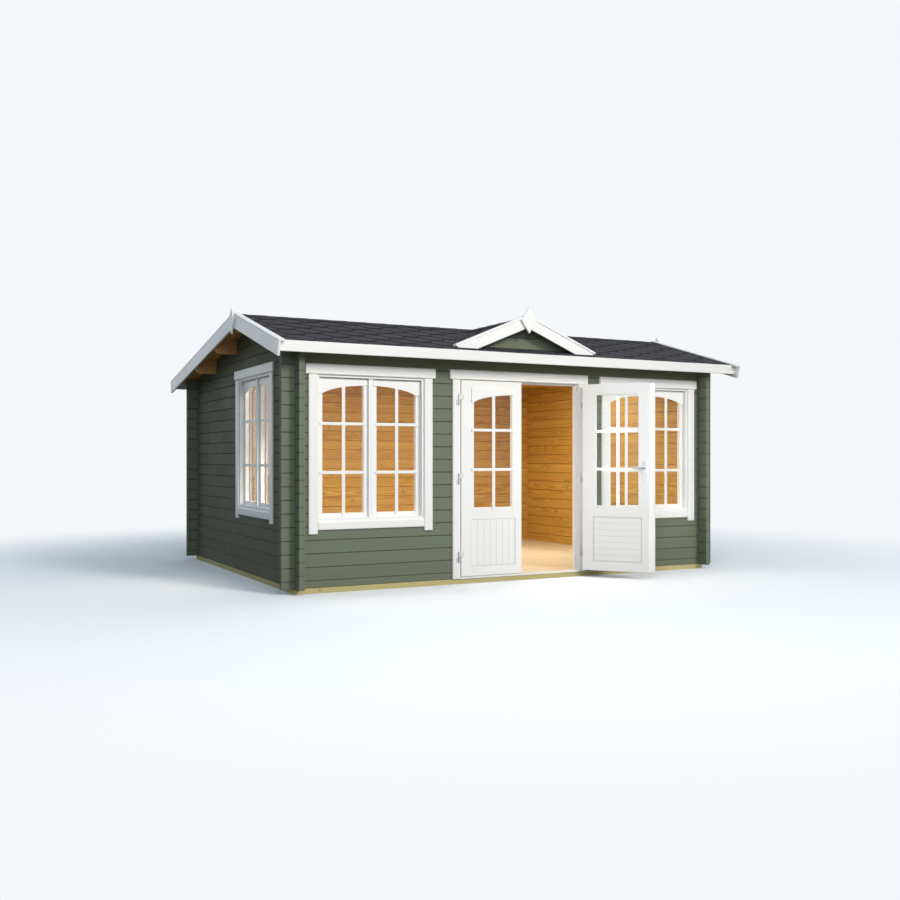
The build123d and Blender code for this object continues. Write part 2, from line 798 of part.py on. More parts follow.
def leaf_bars(with_arch):
    """Glazing bars on the outer face, and on the left leaf the half arch board over them."""
    back = -seat_gap
    face = back - bar_thickness
    glass_right = leaf_width - lock_stile
    glass_top = leaf_top - top_rail
    middle = (hinge_stile + glass_right) / 2
    x0, x1 = hinge_stile - bar_overlap, glass_right + bar_overlap
    board_high = glass_top + door_arch_top_margin
    board_low = board_high - door_arch_board_height
    bar_top = board_high if with_arch else glass_top + bar_overlap
    grid = box((middle - window_bar_width / 2, face, wall_bottom + glass_bottom - bar_overlap),
               (middle + window_bar_width / 2, back, bar_top))
    glass_low = wall_bottom + glass_bottom
    for share in door_bar_shares:
        level = glass_low + share * (glass_top - glass_low)
        grid += box((x0, face, level - crossbar_height / 2), (x1, back, level + crossbar_height / 2))
    if with_arch:
        board = box((x0, face, board_low), (x1, back, board_high))
        door_middle = leaf_width + leaf_meeting_gap / 2
        grid += board - arch_cutter(door_middle, board_low - door_arch_drop,
                                    leaf_width - door_arch_span_inset, door_arch_rise, back)
    return grid


def hinge_knuckle(height, upper):
    """Half of a barrel hinge: its knuckle and the plate screwed to leaf or casing."""
    half = hinge_length / 2
    centre = wall_bottom + height
    low = centre + seat_gap if upper else centre - half
    high = centre + half if upper else centre - seat_gap
    barrel = Pos(0, 0, low) * extrude(RegularPolygon(hinge_radius, hinge_sides), amount=high - low)
    leaf_face = hinge_radius + seat_gap
    face = (leaf_face if upper else leaf_face + leaf_proud) - seat_gap
    reach = hinge_axis_offset + hinge_plate_length if upper else -hinge_plate_length
    x0, x1 = sorted((0, reach))
    plate_low = min(face - hinge_plate_thickness, hinge_radius - hinge_plate_thickness)
    return barrel + box((x0, plate_low, low), (x1, face, high))


def handle_set():
    """Backplate and lever on both faces, and the latch plate on the lock edge."""
    wide, tall, thick = handle_plate
    x = leaf_width - handle_backset
    z = wall_bottom + handle_height
    plate_mid = z - handle_plate_drop
    pieces = []
    for face, way in ((-seat_gap, -1), (leaf_thickness + seat_gap, 1)):
        y0, y1 = sorted((face, face + way * thick))
        plate = box((x - wide / 2, y0, plate_mid - tall / 2), (x + wide / 2, y1, plate_mid + tall / 2))
        neck_end = face + way * (thick + handle_neck_length)
        n0, n1 = sorted((face, neck_end))
        shaft = Plane.XZ * (Pos(x, z) * Circle(handle_neck_radius))
        shaft = Pos(0, n0, 0) * extrude(shaft, amount=n1 - n0, dir=(0, 1, 0))
        grip = Plane.YZ * (Pos(neck_end, z) * Circle(lever_radius))
        grip = Pos(x - lever_length, 0, 0) * extrude(grip, amount=lever_length + lever_radius, dir=(1, 0, 0))
        pieces.append(plate + shaft + grip)
    wide, tall, thick = latch_plate
    y0 = (leaf_thickness - wide) / 2
    pieces.append(box((leaf_width + seat_gap, y0, plate_mid - tall / 2),
                      (leaf_width + seat_gap + thick, y0 + wide, plate_mid + tall / 2)))
    return pieces


def astragal():
    """Cover strip on the lock edge of the right leaf, rebated over the left leaf."""
    x0, x1 = leaf_width - astragal_width, leaf_width + astragal_lip
    back = -seat_gap
    points = [(x0, back), (x0, back - astragal_thickness), (x1, back - astragal_thickness),
              (x1, -astragal_rebate), (leaf_width, -astragal_rebate), (leaf_width, back)]
    strip = Plane.XY * Polygon(*points, align=None)
    low = wall_bottom + leaf_bottom
    return Pos(0, 0, low) * extrude(strip, amount=leaf_top - low, dir=(0, 0, 1))


def write_door_leaves():
    """Closed left leaf and open right leaf, each with its half of the hinges."""
    closed = Pos(-door_casing_inner + leaf_side_gap, leaf_face_y, 0)
    axis = Pos(-hinge_axis_x, hinge_axis_y, 0)
    bars = {"left": leaf_bars(True), "right": leaf_bars(False)}
    to_hinge = Pos(hinge_axis_x, hinge_axis_y, 0)
    swing = to_hinge * Rot(0, 0, right_open_angle) * Pos(-hinge_axis_x, -hinge_axis_y, 0)

    def left_place(piece):
        return closed * piece

    def right_place(piece):
        return swing * mirror(closed * piece, Plane.YZ)

    for name, place in (("left", left_place), ("right", right_place)):
        boards = leaf_frame() + [leaf_panel()]
        if name == "right":
            boards.append(astragal())
        write(f"{name}_door_leaf", *[place(piece) for piece in boards])
        write(f"{name}_door_bars", place(bars[name]))
        write(f"{name}_door_glass", place(leaf_glass()))
        leaf_hinges = [axis * hinge_knuckle(height, True) for height in hinge_heights]
        if name == "right":
            leaf_hinges = [swing * mirror(piece, Plane.YZ) for piece in leaf_hinges]
        write(f"{name}_leaf_hinges", *leaf_hinges)
    write("door_handle", *[right_place(piece) for piece in handle_set()])
    fixed = [axis * hinge_knuckle(height, False) for height in hinge_heights]
    write("casing_hinges", *fixed, *[mirror(piece, Plane.YZ) for piece in fixed])


os.makedirs("parts", exist_ok=True)
write_foundation()
write_floor()
write_front_wall()
write_back_wall()
write_side_walls()
write_roof()
write_fascias()
write_gable_trim()
write_cross_gable()
write_finials()
write_windows()
write_door_surround()
write_door_leaves()
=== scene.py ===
# %% [markdown]
# # A log cabin, dressed
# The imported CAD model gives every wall, board and hinge its true size and place. This lesson
# adds what CAD leaves out: paint, pine, felt shingles, rounded edges and soft light.
# Everything is in metres. X runs along the front, Y into the cabin, Z up.

# %% Load the frame
import json
import math

import bmesh
import bpy
from mathutils import Matrix, Vector


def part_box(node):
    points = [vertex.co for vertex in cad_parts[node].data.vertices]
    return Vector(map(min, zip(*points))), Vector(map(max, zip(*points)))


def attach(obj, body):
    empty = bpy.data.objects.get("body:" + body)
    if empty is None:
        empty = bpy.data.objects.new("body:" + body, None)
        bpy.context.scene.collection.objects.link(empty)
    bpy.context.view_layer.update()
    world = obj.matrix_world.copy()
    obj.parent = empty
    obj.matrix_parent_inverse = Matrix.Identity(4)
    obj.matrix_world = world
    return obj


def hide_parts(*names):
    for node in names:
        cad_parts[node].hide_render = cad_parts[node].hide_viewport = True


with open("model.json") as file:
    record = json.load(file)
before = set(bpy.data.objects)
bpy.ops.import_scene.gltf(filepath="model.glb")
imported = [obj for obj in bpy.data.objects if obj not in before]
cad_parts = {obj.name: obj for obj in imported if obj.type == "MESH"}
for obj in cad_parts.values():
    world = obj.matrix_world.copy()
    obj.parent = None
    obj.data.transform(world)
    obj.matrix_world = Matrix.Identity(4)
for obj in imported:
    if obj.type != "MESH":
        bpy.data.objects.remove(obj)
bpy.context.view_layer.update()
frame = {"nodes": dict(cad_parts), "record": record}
scene = bpy.context.scene
scene.view_settings.view_transform = "Standard"
print("CAD nodes:", len(frame["nodes"]))

# %% [markdown]
# ## Camera
# The viewpoint was worked out from the straight edges in the photograph: a level camera, a little
# over a metre above the ground, turned 27.75 degrees from the depth axis. A tiny vertical
# shift puts the horizon at its place in the frame.

# %% Camera
camera_place = Vector((-4.9856, -9.7423, 1.1439))
camera_turn = math.radians(27.751)
bpy.ops.object.camera_add(location=camera_place, rotation=(math.pi / 2, 0, -camera_turn))
camera = bpy.context.object
camera.name = "camera"
camera.data.sensor_width = 36
camera.data.lens = 40.19
camera.data.shift_y = 0.0092
camera.data.clip_end = 200
scene.camera = camera
print("camera", tuple(round(v, 3) for v in camera.location))

# %% [markdown]
# ## Small helpers for modelling
# An operator acts on whatever is selected. These helpers deselect everything first, pick faces
# or edges by their place, and settle an object so that its place is in its mesh.

# %% Modelling helpers
def take(obj):
    """Select this object alone and make it active."""
    bpy.ops.object.select_all(action="DESELECT")
    obj.select_set(True)
    bpy.context.view_layer.objects.active = obj


def settle(obj):
    """Apply place, turn and size, so the object sits at the origin."""
    take(obj)
    bpy.ops.object.transform_apply(location=True, rotation=True, scale=True)


def add_new(operator, name, **options):
    """Run an add operator with nothing selected, and name the new object."""
    bpy.ops.object.select_all(action="DESELECT")
    operator(**options)
    obj = bpy.context.object
    obj.name = obj.data.name = name
    return obj


def pick(obj, kind="FACE", test=lambda part: True):
    """In edit mode, select the corners, edges or faces that pass the test, or all faces."""
    take(obj)
    bpy.ops.object.mode_set(mode="EDIT")
    bpy.ops.mesh.select_mode(type=kind)
    bpy.ops.mesh.select_all(action="DESELECT")
    mesh = bmesh.from_edit_mesh(obj.data)
    parts = {"FACE": mesh.faces, "EDGE": mesh.edges, "VERT": mesh.verts}[kind]
    for part in parts:
        part.select_set(bool(test(part)))
    bmesh.update_edit_mesh(obj.data)


def leave():
    """Back to object mode."""
    bpy.ops.object.mode_set(mode="OBJECT")


def middle_of(edge):
    """Middle point of an edge."""
    return (edge.verts[0].co + edge.verts[1].co) / 2


def span(edge, axis):
    """How far an edge reaches along an axis, 0, 1 or 2 for X, Y or Z."""
    return abs(edge.verts[0].co[axis] - edge.verts[1].co[axis])


def block(name, low, high):
    """A box between two corners."""
    low, high = Vector(low), Vector(high)
    obj = add_new(bpy.ops.mesh.primitive_cube_add, name, size=1, location=(low + high) / 2)
    obj.scale = high - low
    settle(obj)
    return obj


def finish_modifiers(obj):
    """Apply every modifier in order."""
    take(obj)
    for modifier in list(obj.modifiers):
        bpy.ops.object.modifier_apply(modifier=modifier.name)


def repeat(obj, count, step, uv_step=(0.0, 0.0)):
    """Copy the mesh in a row; each copy's UV coordinates may step on too."""
    array = obj.modifiers.new("row", "ARRAY")
    array.offset_u, array.offset_v = uv_step
    array.count = count
    array.use_relative_offset = False
    array.use_constant_offset = True
    array.constant_offset_displace = step
    finish_modifiers(obj)


def cut(obj, point, normal):
    """Slice off what lies on the normal's side of a plane, and close the cut."""
    pick(obj)
    bpy.ops.mesh.bisect(plane_co=point, plane_no=normal, use_fill=True, clear_outer=True)
    leave()


def move_by(obj, matrix):
    """Move the mesh itself by a matrix."""
    obj.matrix_world = matrix
    settle(obj)


def round_edges(obj, width):
    """Ease every edge sharper than 35 degrees."""
    sharp = math.radians(35)
    bevel = obj.modifiers.new("eased", "BEVEL")
    bevel.width = width
    bevel.segments = 2
    bevel.limit_method = "ANGLE"
    bevel.angle_limit = sharp
    finish_modifiers(obj)
    take(obj)
    bpy.ops.object.shade_smooth_by_angle(angle=sharp)
    weighted = obj.modifiers.new("flat_faces", "WEIGHTED_NORMAL")
    weighted.keep_sharp = True
    finish_modifiers(obj)


def join(name, objects):
    """Join several meshes into one named piece."""
    take(objects[0])
    for obj in objects:
        obj.select_set(True)
    if len(objects) > 1:
        bpy.ops.object.join()
    obj = bpy.context.object
    obj.name = obj.data.name = name
    return obj


def dress(obj, material, body, slot, *nodes):
    """Give a piece its material and body, and hide the nodes it stands for. The slot is not used.
    """
    obj.data.materials.clear()
    obj.data.materials.append(material)
    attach(obj, body)
    if nodes:
        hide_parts(*nodes)


# %% [markdown]
# ## Node helpers
# Procedural materials are sums of small nodes. These helpers add one node each to the tree that
# lies on the bench, and return its output, so a material reads like a recipe.

# %% Node helpers
class bench:
    """Holds the node tree that the helpers below work on."""
    tree = None


def put(socket, value):
    """Feed a socket from another node, or set its value."""
    if isinstance(value, bpy.types.NodeSocket):
        bench.tree.links.new(value, socket)
    else:
        socket.default_value = value


def new_node(kind):
    """One new shader node."""
    return bench.tree.nodes.new("ShaderNode" + kind)


def feed(node, **values):
    """Feed named sockets of a node, with underscores in their names as spaces."""
    for label, value in values.items():
        put(node.inputs[label.replace("_", " ")], value)


def fill(kind, values):
    """New node whose first sockets take the values in order."""
    made = new_node(kind)
    for socket, value in zip(made.inputs, values):
        put(socket, value)
    return made


def maths(operation, *values):
    """One Math node."""
    made = fill("Math", values)
    made.operation = operation
    return made.outputs[0]


def times(first, second):
    """Product of two values."""
    return maths("MULTIPLY", first, second)


def minus(first, second):
    """First value less the second."""
    return maths("SUBTRACT", first, second)


def times_plus(value, factor, extra):
    """A value times a factor, plus an extra."""
    return maths("MULTIPLY_ADD", value, factor, extra)


def size_of(value):
    """A value without its sign."""
    return maths("ABSOLUTE", value)


def vectors(operation, *values):
    """One Vector Math node."""
    made = fill("VectorMath", values)
    made.operation = operation
    return made.outputs["Value" if operation == "LENGTH" else "Vector"]


def split(vector):
    """X, Y and Z of a vector."""
    return tuple(fill("SeparateXYZ", [vector]).outputs)


def combine(*values):
    """A vector from three values."""
    return fill("CombineXYZ", values).outputs[0]


def noise(vector, scale, detail=3.0):
    """Cloudy value from 0 to 1."""
    made = new_node("TexNoise")
    feed(made, Vector=vector, Scale=scale, Detail=detail)
    return made.outputs[0]


def ramp(value, low, high, out_low=0.0, out_high=1.0):
    """Smooth step between two values."""
    made = fill("MapRange", (value, low, high, out_low, out_high))
    made.interpolation_type = "SMOOTHSTEP"
    return made.outputs[0]


def mix(factor, first, second):
    """Mix of two colours."""
    made = new_node("Mix")
    made.data_type = "RGBA"
    put(made.inputs[0], factor)
    put(made.inputs[6], first)
    put(made.inputs[7], second)
    return made.outputs[2]


def mix_shaders(factor, first, second):
    """Mix of two shaders, sent to the output."""
    made = fill("MixShader", (factor, first, second))
    nodes = bench.tree.nodes
    output = next(node for node in nodes if node.bl_idname.startswith("ShaderNodeOutput"))
    put(output.inputs["Surface"], made.outputs[0])


def random_draw(number):
    """A random value and a random colour, the same ones for the same number."""
    made = new_node("TexWhiteNoise")
    made.noise_dimensions = "1D"
    put(made.inputs["W"], number)
    return made.outputs


def bump(height, strength, distance):
    """Bump normal from a height."""
    made = new_node("Bump")
    feed(made, Strength=strength, Distance=distance, Height=height)
    return made.outputs[0]


def new_group(name, inputs, outputs):
    """Empty shader group on the bench. Inputs are (name, type, value)."""
    bench.tree = group = bpy.data.node_groups.new(name, "ShaderNodeTree")
    for label, kind, value in inputs:
        socket = group.interface.new_socket(label, in_out="INPUT", socket_type="NodeSocket" + kind)
        if value is not None:
            socket.default_value = value
    for label, kind in outputs:
        group.interface.new_socket(label, in_out="OUTPUT", socket_type="NodeSocket" + kind)
    return group, group.nodes.new("NodeGroupInput").outputs, group.nodes.new("NodeGroupOutput")


def use_group(group, **values):
    """Place a group in the tree and feed it."""
    made = new_node("Group")
    made.node_tree = group
    feed(made, **values)
    return made.outputs


# %% [markdown]
# ## Stage
# A wide pale floor takes the cabin's shadow and fades into the background colour a few metres
# out, so no horizon line shows. Only the camera sees it pale, straight or through glass: for the
# light that bounces up to the cabin it is dull grey, so that the shade under the roof stays deep.
# It isn't part of the object.

# %% Floor and world
background = (0.91, 0.935, 0.96, 1)
floor_seen = (0.97, 0.975, 0.98, 1)
floor_bounce = (0.25, 0.25, 0.24, 1)
fade_start, fade_end = 3.2, 8.0


def seen_directly(others):
    """1 for camera rays and the other named kinds of ray, else 0."""
    rays = new_node("LightPath")
    value = rays.outputs["Is Camera Ray"]
    for name in others:
        value = maths("MAXIMUM", value, rays.outputs[name])
    return value


floor = add_new(bpy.ops.mesh.primitive_circle_add, "stage_floor", vertices=64, radius=60,
                fill_type="NGON")
floor_material = bpy.data.materials.new("stage_floor")
floor_material.use_nodes = True
bench.tree = floor_material.node_tree
shader = bench.tree.nodes["Principled BSDF"]
seen = seen_directly(["Is Transmission Ray"])
feed(shader, Roughness=0.9, Base_Color=mix(seen, floor_bounce, floor_seen))
glow = fill("Emission", [background])
place = new_node("TexCoord").outputs["Object"]
fade = ramp(vectors("LENGTH", place), fade_start, fade_end)
mix_shaders(times(fade, seen), shader.outputs[0], glow.outputs[0])
floor.data.materials.append(floor_material)

world = bpy.data.worlds.new("studio")
scene.world = world
world.use_nodes = True
bench.tree = world.node_tree
light = bench.tree.nodes["Background"]
feed(light, Color=(0.69, 0.835, 1.0, 1), Strength=0.54)
shown = fill("Background", [background, 1])
seen = seen_directly(["Is Glossy Ray", "Is Transmission Ray"])
mix_shaders(seen, light.outputs[0], shown.outputs[0])
print("stage ready")

# %% [markdown]
# ## Light
# The sun in the photograph comes from the right in front, rather low, so the front is bright and
# the left gable lies in shade. One large soft lamp stands in for it. A weaker one from the left
# in front fills the reveals, and a narrow beam fills the open door leaf. Dim lamps under the
# roof keep the bare pine inside as warm and light as it looks through the open door.

# %% Lamps
def lamp(name, place, target, size, energy, colour):
    """Square area lamp aimed at a target."""
    obj = add_new(bpy.ops.object.light_add, name, type="AREA", location=place)
    obj.data.shape = "SQUARE"
    obj.data.size = size
    obj.data.energy = energy
    obj.data.color = colour
    obj.rotation_euler = (Vector(target) - Vector(place)).to_track_quat("-Z", "Y").to_euler()
    return obj


lamp("sun_lamp", (8.35, -26.7, 14.3), (0, -1, 1.2), 7.0, 5450, (1.0, 0.955, 0.880))
lamp("front_lamp", (-3.0, -7.4, 3.8), (0.4, -1.7, 1.2), 2.5, 110, (0.97, 0.98, 1.0))
leaf_lamp = lamp("leaf_lamp", (-3.4, -6.6, 2.4), (0.93, -2.02, 1.05), 0.8, 3.2,
                 (1.0, 0.99, 0.97))
leaf_lamp.data.spread = math.radians(30)
room_light = (1.0, 0.94, 0.84)
for name, x, size, energy in (("room_lamp", 0, 1.6, 34), ("room_lamp_left", -1.4, 1.2, 16),
                              ("room_lamp_right", 1.4, 1.2, 16)):
    lamp(name, (x, -0.3, 2.02), (x, -0.1, 0), size, energy, room_light)

# %% [markdown]
# ## Sawn pine
# A board is a slice through the growth rings of a log. Seen from the face, a ring is a line at a
# fixed distance from the heart of the log, which lies a few centimetres behind the board, so the
# lines crowd at the board's edges and spread in its middle. Fine streaks and a few small knots
# lie over them. Every board is another slice: a random step per board moves heart and knots.
# The group wants three values: along the board, across it from its middle, and into it.

# %% Sawn pine group
sawn_pine, given, result = new_group(
    "sawn_pine",
    [("Vector", "Vector", None), ("Board", "Float", 0.0), ("Pale", "Color", (0.7, 0.5, 0.3, 1)),
     ("Dark", "Color", (0.4, 0.2, 0.1, 1)), ("Knots", "Float", 1.0)],
    [("Color", "Color"), ("Height", "Float"), ("Knot", "Float")],
)
draw = random_draw(given["Board"])
random_a, random_b, random_c = split(draw["Color"])
across, inward = split(given["Vector"])[1:]
shift = vectors("MULTIPLY", draw["Color"], (9.0, 3.0, 5.0))
spot = vectors("ADD", given["Vector"], shift)
cells = new_node("TexVoronoi")
cells.voronoi_dimensions = "2D"
feed(cells, Vector=spot, Scale=5.5)
present = ramp(split(cells.outputs["Color"])[0], 0.62, 0.64)
present = times(present, given["Knots"])
far = cells.outputs["Distance"]
knot = times(ramp(far, 0.028, 0.055, 1.0, 0.0), present)
flow = times(ramp(far, 0.0, 0.35, 1.0, 0.0), present)
wobble = noise(vectors("MULTIPLY", spot, (0.9, 5.0, 5.0)), 1.0, 2.0)
heart_across = maths("ADD", across, times_plus(random_a, 0.10, -0.05))
heart_inward = maths("ADD", inward, times_plus(random_b, 0.07, 0.025))
radius = vectors("LENGTH", combine(heart_across, heart_inward, 0.0))
rings_per_metre = 120.0
rings = times_plus(radius, rings_per_metre, times_plus(wobble, 7.0, times(flow, 1.6)))
lines = ramp(maths("PINGPONG", rings, 0.5), 0.02, 0.42)
streaks = noise(vectors("MULTIPLY", spot, (2.6, 150.0, 150.0)), 1.0, 3.0)
clouds = noise(vectors("MULTIPLY", spot, (1.3, 9.0, 9.0)), 1.0, 2.0)
tone = times_plus(lines, 0.34, times_plus(streaks, 0.36, times(clouds, 0.30)))
wood = mix(ramp(tone, 0.12, 0.80), given["Dark"], given["Pale"])
wood = mix(times(random_c, 0.30), wood, given["Dark"])
wood = mix(times(flow, 0.22), wood, given["Dark"])
knot_brown = (0.085, 0.028, 0.009, 1)
wood = mix(times(knot, 0.80), wood, knot_brown)
feed(result, Color=wood, Height=tone, Knot=knot)
print("group", sawn_pine.name)

# %% [markdown]
# ## Paint over wood
# Opaque paint hides the colour of the wood but not all of its surface: brushed streaks run
# along the board, boards differ a little from each other, and the gloss is uneven.

# %% Paint group
brushed_paint, given, result = new_group(
    "brushed_paint",
    [("Vector", "Vector", None), ("Board", "Float", 0.0), ("Paint", "Color", (0.8, 0.8, 0.8, 1)),
     ("Variation", "Float", 0.06)],
    [("Color", "Color"), ("Height", "Float"), ("Gloss", "Float")],
)
draw = random_draw(given["Board"])
spot = vectors("ADD", given["Vector"], vectors("MULTIPLY", draw["Color"], (4.0, 4.0, 4.0)))
streaks = noise(vectors("MULTIPLY", spot, (2.5, 90.0, 90.0)), 1.0, 4.0)
patches = noise(spot, 2.2, 3.0)
lift = times(maths("ADD", streaks, patches), 0.5)
lift = times_plus(draw["Value"], 0.5, lift)
scale = times_plus(minus(lift, 0.75), given["Variation"], 1.0)
painted = vectors("SCALE", given["Paint"])
feed(painted.node, Scale=scale)
feed(result, Color=painted, Height=streaks, Gloss=ramp(patches, 0.25, 0.75))
print("group", brushed_paint.name)

# %% [markdown]
# ## Materials
# A helper starts each material and turns the coordinates so that the grain runs along the
# board: along X, Y or Z of the cabin.

# %% Material helpers
def start_material(name, roughness, specular=0.5, metallic=0.0):
    """New material on the bench, its shader and its object coordinates."""
    material = bpy.data.materials.new(name)
    material.use_nodes = True
    bench.tree = material.node_tree
    shader = bench.tree.nodes["Principled BSDF"]
    feed(shader, Roughness=roughness, Specular_IOR_Level=specular, Metallic=metallic)
    return material, shader, new_node("TexCoord").outputs["Object"]


def along(vector, axis):
    """The same coordinates with the board's long axis first."""
    x, y, z = split(vector)
    return combine(*{"X": (x, y, z), "Y": (y, x, z), "Z": (z, x, y)}[axis])


def board_space(vector, axis, across, start, width):
    """Board number, place in the board for the grain, and distance to its nearest long edge."""
    values = dict(zip("XYZ", split(vector)))
    third = (set("XYZ") - {axis, across}).pop()
    count = maths("DIVIDE", minus(values[across], start), width)
    board = maths("FLOOR", count)
    local = times(minus(maths("FRACT", count), 0.5), width)
    edge = minus(width / 2, size_of(local))
    row = maths("FLOOR", times(values[third], 0.9))
    number = times_plus(row, 37.0, board)
    return number, combine(values[axis], local, 0.0), edge


pine_pale = (0.63, 0.390, 0.088, 1)
pine_dark = (0.43, 0.200, 0.031, 1)


def pine_material(name, axis, across, start, width, pale=pine_pale, dark=pine_dark, knots=1.0,
                  joint=0.60):
    """Bare planed pine boards with dark joints."""
    material, shader, place = start_material(name, 0.5, specular=0.35)
    board, vector, edge = board_space(place, axis, across, start, width)
    grain = use_group(sawn_pine, Vector=vector, Board=board, Pale=pale, Dark=dark, Knots=knots)
    seam = ramp(edge, 0.0012, 0.0038, joint, 0.0)
    feed(shader, Base_Color=mix(seam, grain["Color"], (0.075, 0.030, 0.010, 1)),
         Normal=bump(grain["Height"], 0.25, 0.0006))
    return material


satin_roughness = 0.40


def satin_finish(shader, paint, colour):
    """Brushed lacquer, whose thin clear coat mirrors a little of the light around it."""
    feed(shader, Coat_Weight=0.55, Coat_Roughness=0.30, Base_Color=colour,
         Roughness=times_plus(paint["Gloss"], 0.14, satin_roughness - 0.07),
         Normal=bump(paint["Height"], 0.15, 0.0004))


def paint_material(name, colour, axis):
    """Brushed opaque lacquer on joinery."""
    material, shader, place = start_material(name, satin_roughness)
    paint = use_group(brushed_paint, Vector=along(place, axis), Paint=colour, Variation=0.05)
    rough_height = times_plus(noise(place, 9.0, 4.0), 0.16, split(place)[2])
    splash = ramp(rough_height, 0.12, 0.42, 0.16, 0.0)
    splash_grey = (0.50, 0.47, 0.40, 1)
    satin_finish(shader, paint, mix(splash, paint["Color"], splash_grey))
    return material


# %% [markdown]
# ## Wall logs
# One material covers a log all round: grey green stain outside and at the notched corners,
# bare pine on the faces that look into the room. The object's own coordinates decide. Where two
# logs meet, both finishes are darker along the V joint: painted shade, and dust. On the side
# walls the stained faces also carry painted shade; the log ends at the corners do not.

# %% Log material
half_width = 2.220
half_depth = 1.6925
ground_to_wall = 0.045
course_height = 0.114
stained_depth, corner_margin = 0.0445, 0.002
log_green = (0.150, 0.172, 0.119, 1)
painted_shade_brown = (0.036, 0.022, 0.005, 1)
seam_green = (0.018, 0.021, 0.014, 1)
seam_brown = (0.090, 0.036, 0.010, 1)
dust_green = (0.13, 0.135, 0.10, 1)


def log_material(name, axis, first_height, shade):
    """Stained outside, bare inside, one random step per course; shade adds painted shade on the
    wall faces.
    """
    material, shader, place = start_material(name, 0.62, specular=0.16)
    start = ground_to_wall + first_height
    board, vector, edge = board_space(place, axis, "Z", start, course_height)
    paint = use_group(brushed_paint, Vector=along(place, axis), Paint=log_green, Board=board,
                      Variation=0.13)
    grain = use_group(sawn_pine, Vector=vector, Pale=pine_pale, Dark=pine_dark, Board=board)
    x, y, z = split(place)
    within_x = maths("LESS_THAN", size_of(x), half_width - stained_depth)
    within_y = maths("LESS_THAN", size_of(y), half_depth - stained_depth)
    inside = times(within_x, within_y)
    # Along the V joints both finishes darken: painted shade, and dust.
    seam = ramp(edge, 0.0030, 0.0060, 0.50, 0.0)
    # Painted shade darkens the wall faces only, not the log ends at the corners.
    wall_face = maths("LESS_THAN", size_of(y), half_depth - corner_margin)
    stain = mix(times(wall_face, shade), paint["Color"], painted_shade_brown)
    stain = mix(times(seam, 0.85), stain, seam_green)
    rough_height = times_plus(noise(place, 7.0, 4.0), 0.2, z)
    splash = ramp(rough_height, 0.14, 0.5, 0.30, 0.0)
    stain = mix(splash, stain, dust_green)
    bare = mix(times(seam, 0.65), grain["Color"], seam_brown)
    height = times_plus(grain["Height"], 0.5, times(paint["Height"], 0.5))
    feed(shader, Base_Color=mix(inside, stain, bare), Normal=bump(height, 0.32, 0.0007),
         Roughness=times_plus(paint["Gloss"], 0.14, 0.52))
    return material


# The logs along Y, on the side walls and gables, carry painted shade; those along X carry none.
logs_along_x = log_material("logs_along_x", "X", 0.062, 0.0)
logs_along_y = log_material("logs_along_y", "Y", 0.119, 0.44)


def paint_nodes(material, *names):
    """Give the slots of CAD nodes one material."""
    for name in names:
        for slot in frame["nodes"][name].material_slots:
            slot.material = material
    print(material.name, "on", len(names), "nodes")


paint_nodes(logs_along_x, "front_wall_left", "front_wall_right", "front_wall_top", "back_wall",
            "cross_gable_logs")
paint_nodes(logs_along_y, "left_wall", "right_wall", "left_gable", "right_gable")

# %% [markdown]
# ## Joinery, trim and bare wood finishes
# Trim and joinery are lacquered white. Beams, floor, roof boards and purlins are bare boards of
# different pine, from pale planed floor boards to greenish impregnated beams.

# %% Other wood and paint
white = (0.82, 0.81, 0.785, 1)
white_x = paint_material("white_along_x", white, "X")
# The eave fascias take a darker copy of the white lacquer: painted shade.
white_eave_painted_shade = paint_material("white_eave_painted_shade", (0.745, 0.73, 0.705, 1), "X")
white_y = paint_material("white_along_y", white, "Y")
white_z = paint_material("white_along_z", white, "Z")
floor_pine = pine_material("floor_pine", "X", "Y", -1.642, 0.120,
                           pale=(0.74, 0.64, 0.44, 1), dark=(0.61, 0.49, 0.31, 1))
plank_width = 0.0976
first_plank_x = -2.4397
roof_pine = pine_material("roof_pine", "Y", "X", first_plank_x, plank_width)
cross_pine = pine_material("cross_roof_pine", "Y", "X", 0.0, 0.096)
purlin_pine = pine_material("purlin_pine", "X", "Z", 0.0, 3.0, joint=0.0, knots=0.6,
                            pale=(0.66, 0.37, 0.14, 1), dark=(0.46, 0.22, 0.07, 1))
beam_wood = pine_material("impregnated_beam", "X", "Z", -1.0, 3.0, joint=0.0, knots=0.8,
                          pale=(0.56, 0.50, 0.23, 1), dark=(0.38, 0.32, 0.12, 1))
paint_nodes(floor_pine, "floor_boards")
paint_nodes(cross_pine, "cross_roof_boards")

# %% [markdown]
# ## Door leaf finish
# The lower panel of a leaf is tongued boards: upright outside, level inside. Their V joints are
# fine, so painted shade marks them, as it marks the corner between panel and frame; on the inner
# face a wider band of painted shade runs inside the panel's edge. The right leaf stands open, so
# a Mapping node first turns its coordinates back to the closed door.

# %% Leaf material
leaf_edge_x = 0.6435
leaf_face_y = -1.7128
hinge_place = (0.6705, -1.7196, 0.0)
right_open = math.radians(130)
panel_x0, panel_x1, panel_z0, panel_z1 = 0.104, 0.570, 0.159, 0.584
panel_boards = 7


def band(value, low, high):
    """1 between two values, else 0."""
    return times(maths("GREATER_THAN", value, low), maths("LESS_THAN", value, high))


def to_sides(value, low, high):
    """Distance from a value to the nearer of two limits."""
    return maths("MINIMUM", size_of(minus(value, low)), size_of(minus(value, high)))


def to_joint(value, low, high):
    """Distance from a value to the nearest joint between the panel's boards."""
    return maths("PINGPONG", minus(value, low), (high - low) / panel_boards / 2)


